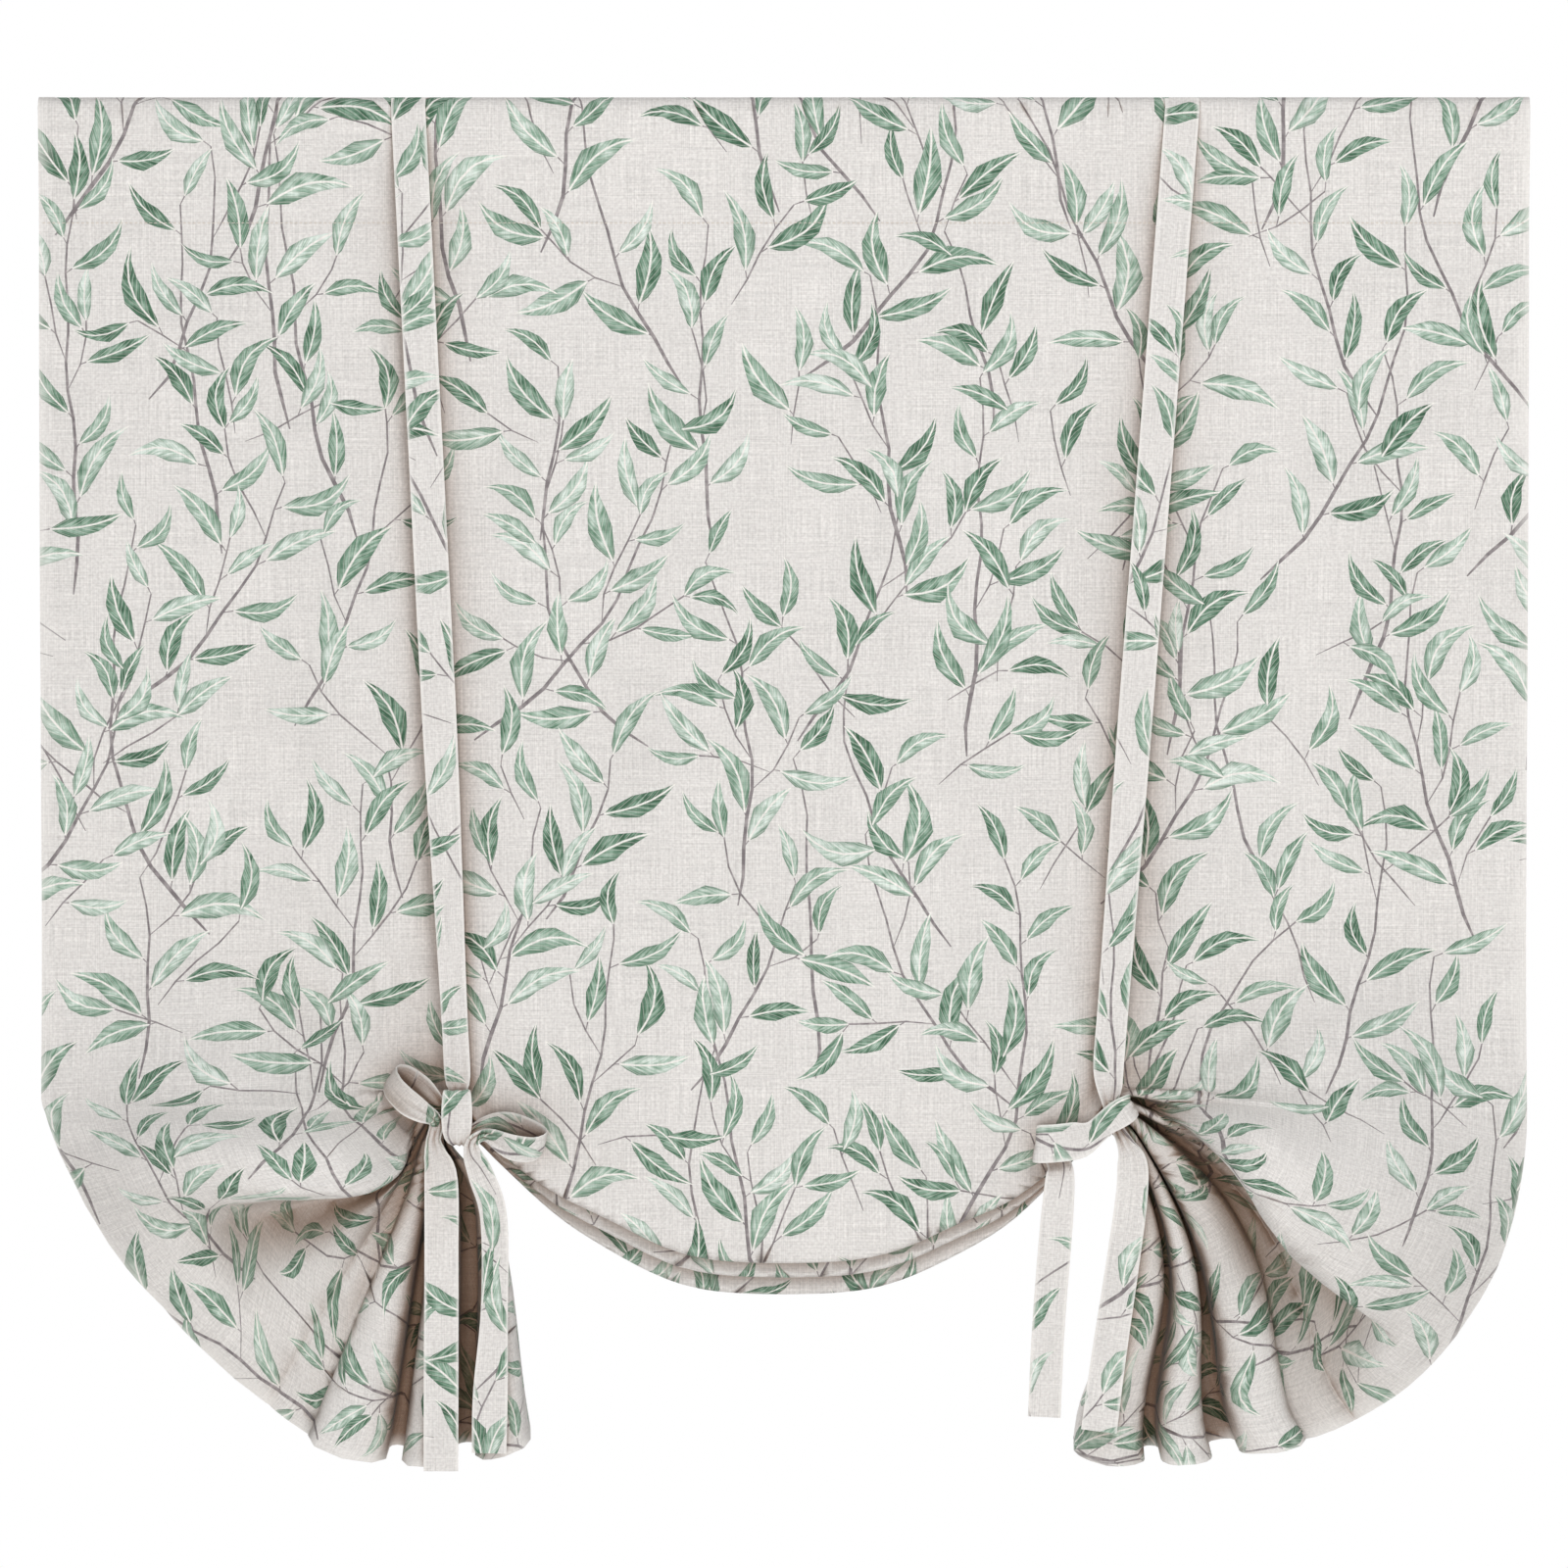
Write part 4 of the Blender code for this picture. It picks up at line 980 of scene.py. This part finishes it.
# Under a gather: the tie as it bunches there, and half the thickness of the cloth it wraps
BUNCHED_TIE = 0.0022
HALF_CLOTH = 0.0006
SQUEEZED_WIDTH = 0.010
ROUTE_STEP = 0.0035

# Left and right: the middle of the knot, and where the tie is caught in the header
KNOT_X = (-0.2551, 0.2536)
KNOT_DEPTH = (FAN_TOP_DEPTH + 0.012, FAN_TOP_DEPTH + 0.014)
TIE_TOP_X = (-0.294, 0.3115)

# How far towards the room each layer of cloth in a knot lies
LAYER_INNER = -0.0202
LAYER_OVER = -0.0239
LAYER_RETURN = -0.0277
LAYER_FACE = -0.0345

# Routes from above each knot to the free end: sideways, forward, up from the knot's middle,
# width, the turn of the tie's width in degrees, and the tilt of it towards the wall
LEFT_FRONT_ROUTE = (
    (0.000, LAYER_INNER, 0.030, 0.020, 0, 0), (0.000, LAYER_INNER, 0.018, 0.013, 0, 0),
    (-0.003, LAYER_INNER, 0.009, 0.011, -40, 0), (-0.012, LAYER_INNER, 0.007, 0.011, -92, 5),
    (-0.021, -0.0240, 0.0135, 0.018, -115, 15), (-0.032, -0.0290, 0.0235, 0.025, -121, 32),
    (-0.044, -0.0335, 0.0315, 0.026, -122, 38), (-0.0515, -0.0395, 0.0310, 0.026, -122, 38),
    (-0.0490, -0.0450, 0.0225, 0.026, -122, 38), (-0.0385, -0.0460, 0.0115, 0.025, -122, 34),
    (-0.0275, -0.0405, 0.0035, 0.018, -118, 18), (-0.0185, -0.0320, -0.0015, 0.012, -118, 0),
    (-0.0160, -0.0285, -0.008, 0.011, -150, 0), (-0.0185, LAYER_RETURN, -0.018, 0.011, -178, 0),
    (-0.0170, -0.0285, -0.030, 0.018, -180, 0), (-0.0125, -0.030, -0.050, 0.026, -180, 0),
    (-0.012, -0.033, -0.110, 0.0265, -176, 0), (-0.012, -0.038, -0.190, 0.027, -183, 0),
    (-0.012, -0.043, -0.276, 0.027, -180, 0),
)
LEFT_BACK_ROUTE = (
    (0.000, -0.0217, -0.0085, 0.011, 0, 0), (0.000, LAYER_OVER, -0.002, 0.012, 0, 0),
    (0.000, LAYER_OVER, 0.010, 0.014, 0, 0), (0.000, -0.0262, 0.0175, 0.018, 0, 0),
    (0.000, -0.0312, 0.0195, 0.021, 0, 0), (0.000, LAYER_FACE, 0.013, 0.023, 0, 0),
    (0.000, -0.0353, 0.000, 0.024, 0, 0), (0.000, LAYER_FACE, -0.013, 0.022, 0, 0),
    (0.0005, -0.0330, -0.0195, 0.016, 0, 0), (0.002, -0.0300, -0.0215, 0.010, -5, 0),
    (0.005, LAYER_RETURN, -0.0185, 0.0085, -35, 0), (0.0115, LAYER_RETURN, -0.0125, 0.009, -65, 0),
    (0.025, -0.0300, -0.0075, 0.017, -93, 15), (0.041, -0.0325, -0.0075, 0.025, -100, 32),
    (0.058, -0.0365, -0.0125, 0.026, -104, 38), (0.0685, -0.0420, -0.0200, 0.026, -105, 38),
    (0.0600, -0.0480, -0.0255, 0.026, -104, 38), (0.043, -0.0485, -0.0235, 0.025, -98, 34),
    (0.0295, -0.0430, -0.0170, 0.016, -90, 16), (0.0215, -0.0375, -0.0145, 0.009, -72, 0),
    (0.0125, -0.0362, -0.0200, 0.010, -25, 0), (0.0125, -0.0358, -0.0300, 0.015, 5, 0),
    (0.0190, -0.0358, -0.046, 0.020, 0, 0), (0.0290, -0.0370, -0.080, 0.021, 4, 0),
    (0.0295, -0.0395, -0.150, 0.021, -3, 0), (0.0265, -0.0425, -0.215, 0.027, 2, 0),
    (0.0255, -0.0430, -0.262, 0.027, 0, 0),
)
RIGHT_FRONT_ROUTE = (
    (0.0000, -0.0215, 0.042, 0.024, 0, 0), (0.0005, -0.0238, 0.024, 0.020, 0, 0),
    (0.0010, -0.0264, 0.011, 0.012, 3, 0), (0.0040, -0.0266, -0.001, 0.010, 5, 0),
    (0.0085, -0.0262, -0.011, 0.010, 3, 0), (0.0135, -0.0275, -0.021, 0.014, 0, 0),
    (0.0180, -0.0305, -0.034, 0.023, -4, 0), (0.0175, -0.0330, -0.060, 0.025, -8, 0),
    (0.0100, -0.0360, -0.115, 0.026, -7, 0), (0.0000, -0.0400, -0.180, 0.027, -8, 0),
    (-0.0085, -0.0430, -0.243, 0.028, -6, 0),
)
RIGHT_BACK_ROUTE = (
    (0.0034, LAYER_INNER, -0.0080, 0.009, 0, 0), (0.0050, LAYER_INNER, 0.0010, 0.009, -12, 0),
    (0.0100, -0.0220, 0.0085, 0.010, -40, 0), (0.0155, -0.0258, 0.0120, 0.013, -58, 0),
    (0.0180, -0.0310, 0.0115, 0.017, -64, 0), (0.0150, -0.0362, 0.0085, 0.021, -66, 0),
    (0.0060, -0.0385, 0.0030, 0.022, -64, 0), (-0.0040, -0.0380, -0.0040, 0.019, -66, 0),
    (-0.0120, -0.0370, -0.0110, 0.020, -78, 0), (-0.0220, -0.0380, -0.0160, 0.028, -88, 0),
    (-0.0380, -0.0400, -0.0185, 0.031, -94, 0), (-0.0530, -0.0385, -0.0195, 0.030, -96, 0),
    (-0.0575, -0.0335, -0.0200, 0.028, -96, 0), (-0.0520, -0.0290, -0.0215, 0.025, -92, 0),
    (-0.0435, -0.0280, -0.0265, 0.020, -120, 0), (-0.0385, -0.0300, -0.0365, 0.019, -160, 0),
    (-0.0385, -0.0335, -0.0480, 0.023, -176, 0), (-0.0415, -0.0375, -0.085, 0.0255, -183, 0),
    (-0.0475, -0.0400, -0.160, 0.0255, -184, 0), (-0.0510, -0.0410, -0.232, 0.0255, -182, 0),
)


def beside_tie(x, depth, behind):
    """The panel's front or back face at a place on a tie, over the tie's whole width."""
    across = x + np.linspace(-0.03, 0.03, 41)
    front, back, _ = panel_faces(across, np.full(41, depth))
    faces = back if behind else front
    beside = np.abs(faces[:, 0] - x) < 0.6 * TIE_WIDTH
    return faces[beside, 1].max() if behind else faces[beside, 1].min()


def hanging_rows(hand, behind, foot):
    """The straight run of a tie, from round the header down to the start of its route."""
    sign = 1.0 if behind else -1.0
    over = ROD_ROOM_RADIUS + LINEN / 2.0 + TIE_CLEARANCE + TIE_THICKNESS / 2.0
    rows = []
    for degrees in (50, 25, 0):
        angle = math.radians(degrees)
        depth = ROD_ROOM_RADIUS - over * math.sin(angle)
        rows.append((TIE_TOP_X[hand], sign * over * math.cos(angle), depth, TIE_WIDTH, 0, 0))
    gap = TIE_CLEARANCE + TIE_THICKNESS / 2.0
    end_x, end_y, end_depth, end_width = foot[:4]
    for share in np.linspace(0.05, 0.95, 19):
        depth = mix(ROD_ROOM_RADIUS, end_depth, share)
        x = mix(TIE_TOP_X[hand], end_x, share)
        y = mix(sign * over, end_y, share)
        clear = beside_tie(x, depth, behind) + sign * gap
        y = max(y, clear) if behind else min(y, clear)
        rows.append((x, y, depth, mix(TIE_WIDTH, end_width, ramp(0.6, 1.0, share)), 0, 0))
    return rows


def under_bundle(hand):
    """The back tie's turn under the gathered cloth, from the wall side round to the room side."""
    radius = BUNDLE_RADIUS + HALF_CLOTH + TIE_CLEARANCE + BUNCHED_TIE
    middle = column(np.array([GATHER_ACROSS * (-1, 1)[hand]]))["depth"][0]
    rows = []
    for degrees in range(0, 145, 18):
        angle = math.radians(degrees)
        depth = middle + radius * math.sin(angle)
        rows.append((GATHER_X * (-1, 1)[hand], radius * math.cos(angle), depth, SQUEEZED_WIDTH, 0, 0))
    return rows


def smooth_route(rows, step):
    """Rows read every few millimetres from a smooth curve through the rows of a route."""
    rows = np.array(rows, dtype=float)
    padded = np.vstack([2 * rows[0] - rows[1], rows, 2 * rows[-1] - rows[-2]])
    out = []
    for a, b, c, d in zip(padded, padded[1:], padded[2:], padded[3:]):
        count = max(2, int(np.linalg.norm(c[:3] - b[:3]) / step))
        for k in range(count):
            t = k / count
            bend = (2 * a - 5 * b + 4 * c - d) * t * t + (3 * b - a - 3 * c + d) * t**3
            out.append(0.5 * (2 * b + (c - a) * t + bend))
    out.append(rows[-1])
    return np.array(out)


def make_tie(name, node, rows, seed):
    """One sewn tube along its route, with the print of a strip cut from the same cloth."""
    rows = smooth_route(rows, ROUTE_STEP)
    centre = np.stack([rows[:, 0], rows[:, 1], POCKET_HEIGHT / 2.0 - rows[:, 2]], axis=-1)
    length = np.concatenate([[0.0], np.cumsum(np.linalg.norm(np.diff(centre, axis=0), axis=1))])
    ahead = np.gradient(centre, length, axis=0)
    ahead /= np.linalg.norm(ahead, axis=1, keepdims=True)
    turn = np.radians(rows[:, 4])
    tilt = np.radians(rows[:, 5])
    wide = np.stack([np.cos(turn) * np.cos(tilt), np.sin(tilt), np.sin(turn) * np.cos(tilt)], axis=-1)
    wide -= ahead * np.sum(wide * ahead, axis=1, keepdims=True)
    wide /= np.linalg.norm(wide, axis=1, keepdims=True)
    out = np.cross(ahead, wide)
    values = np.concatenate([centre, wide, out, rows[:, 3:4] / TIE_WIDTH], axis=1)

    def read(down):
        return np.stack([np.interp(down, length, values[:, k]) for k in range(10)], axis=-1)

    def middle(across, down):
        row = read(down)
        squeezed = np.clip(1.0 - row[:, 9], 0.0, 1.0)
        share = across / TIE_WIDTH
        pleat = 0.0016 * squeezed * np.cos(share * math.pi * 5.0) + 0.0004 * np.sin(down * 70.0 + share * 6.0)
        aside = across * np.minimum(row[:, 9], 1.1)
        return row[:, 0:3] + row[:, 3:6] * aside[:, None] + row[:, 6:9] * pleat[:, None]

    def faces(across, down):
        normal = cloth_normal(middle, across, down)
        share = np.abs(across) / (TIE_WIDTH / 2.0)
        plump = TIE_THICKNESS / 2.0 * np.sqrt(np.clip(1.0 - share**6, 0.03, 1.0))
        return (middle(across, down) - normal * plump[:, None],
                middle(across, down) + normal * plump[:, None], normal)

    # Painted highlight: the tie's folded edges are painted paler, where light would catch them
    def painted_tie_edge_highlight(across, down):
        return ramp(0.78, 0.97, np.abs(across) / (TIE_WIDTH / 2.0))

    across = TIE_WIDTH / 2.0 * np.array(
        [-1.0, -0.93, -0.8, -0.6, -0.4, -0.2, 0.0, 0.2, 0.4, 0.6, 0.8, 0.93, 1.0]
    )
    down = np.broadcast_to(length, (len(across), len(length)))
    leaves, stems = grow_sprigs(0.12, -0.05, length[-1] + 0.05, seed)
    laid = lay_print(across, down, [True] * len(length), leaves, stems)
    tie = cloth_object(name, *laid, leaves, faces, painted_tie_edge_highlight, PRINTED)
    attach(tie, "root")
    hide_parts(node)
    return tie


def placed(route, hand):
    """A route's rows, measured from its knot, as places in the room."""
    x, depth = KNOT_X[hand], KNOT_DEPTH[hand]
    return [(x + dx, y, depth - up, width, turn, tilt) for dx, y, up, width, turn, tilt in route]


for hand, side_name in enumerate(("left", "right")):
    front_route = placed((LEFT_FRONT_ROUTE, RIGHT_FRONT_ROUTE)[hand], hand)
    back_route = under_bundle(hand) + placed((LEFT_BACK_ROUTE, RIGHT_BACK_ROUTE)[hand], hand)
    make_tie(side_name + "_front_tie_cloth", side_name + "_front_tie",
             hanging_rows(hand, False, front_route[0]) + front_route, seed=21 + hand)
    make_tie(side_name + "_back_tie_cloth", side_name + "_back_tie",
             hanging_rows(hand, True, back_route[0]) + back_route, seed=31 + hand)

# The studio
# A pale floor well below, a white sky all round, and soft light from large panels in front, with
# one behind for the wall side. The camera looks straight on through a long lens.

# Width of the picture at the shade, and the camera's place in front of it
PICTURE_WIDTH = 1.2294
CAMERA_AWAY = 6.0
CAMERA_HEIGHT = -0.4895
SENSOR_WIDTH = 36.0
FLOOR_SIZE = 8.0
FLOOR_HEIGHT = -1.75
SKY_STRENGTH = 0.37


def white_to_camera(data, shaded, output):
    """Shows plain white to the camera and to mirrors, and the shaded surface to all other rays."""
    seen = add_node(data, "ShaderNodeLightPath")
    most = add_node(
        data, "ShaderNodeMath", {"operation": "MAXIMUM"},
        n0=seen.outputs["Is Camera Ray"], n1=seen.outputs["Is Glossy Ray"],
    )
    glow = add_node(data, "ShaderNodeEmission", {"in Color": (1.0, 1.0, 1.0, 1.0), "in Strength": 1.0})
    both = add_node(data, "ShaderNodeMixShader", n0=most.outputs[0], n1=shaded, n2=glow.outputs[0])
    data.node_tree.links.new(both.outputs[0], data.node_tree.nodes[output].inputs["Surface"])


# Matt studio paper
paper = bpy.data.materials.new("pale studio floor")
paper.use_nodes = True
paper_shader = paper.node_tree.nodes["Principled BSDF"]
paper_shader.inputs["Base Color"].default_value = linear("#F0EEEB")
paper_shader.inputs["Roughness"].default_value = 1.0
paper_shader.inputs["Specular IOR Level"].default_value = 0.0
white_to_camera(paper, paper_shader.outputs[0], "Material Output")

for item in bpy.context.selected_objects:
    item.select_set(False)
bpy.ops.mesh.primitive_plane_add(size=FLOOR_SIZE, location=(0.0, 0.0, FLOOR_HEIGHT))
floor = bpy.context.object
floor.name = "pale_floor"
floor.data.materials.append(paper)

world = bpy.data.worlds.new("soft studio")
bpy.context.scene.world = world
world.use_nodes = True
sky = world.node_tree.nodes["Background"]
sky.inputs["Color"].default_value = (1.0, 1.0, 1.0, 1.0)
sky.inputs["Strength"].default_value = SKY_STRENGTH
white_to_camera(world, sky.outputs[0], "World Output")


def light_panel(name, place, aim, size, power):
    """A large soft lamp at a place, turned to face another."""
    bpy.ops.object.light_add(type="AREA", location=place)
    lamp = bpy.context.object
    lamp.name = name
    lamp.rotation_euler = (Vector(aim) - Vector(place)).to_track_quat("-Z", "Y").to_euler()
    lamp.data.shape = "RECTANGLE"
    lamp.data.size, lamp.data.size_y = size
    lamp.data.energy = power


light_panel("key_panel", (0.9, -2.9, 1.6), (0.1, 0.0, -0.6), (1.3, 1.1), 42.0)
light_panel("fill_panel", (-0.4, -4.6, -1.3), (0.0, 0.0, -0.6), (1.2, 1.2), 79.0)
light_panel("wall_side_panel", (-1.0, 3.4, 1.3), (0.0, 0.0, -0.5), (1.6, 1.6), 110.0)

bpy.ops.object.camera_add(location=(0.0, -CAMERA_AWAY, CAMERA_HEIGHT), rotation=(math.pi / 2.0, 0.0, 0.0))
camera = bpy.context.object
camera.data.sensor_width = SENSOR_WIDTH
camera.data.lens = SENSOR_WIDTH * CAMERA_AWAY / PICTURE_WIDTH
camera.data.clip_end = 50.0
bpy.context.scene.camera = camera
bpy.context.scene.view_settings.view_transform = "Standard"
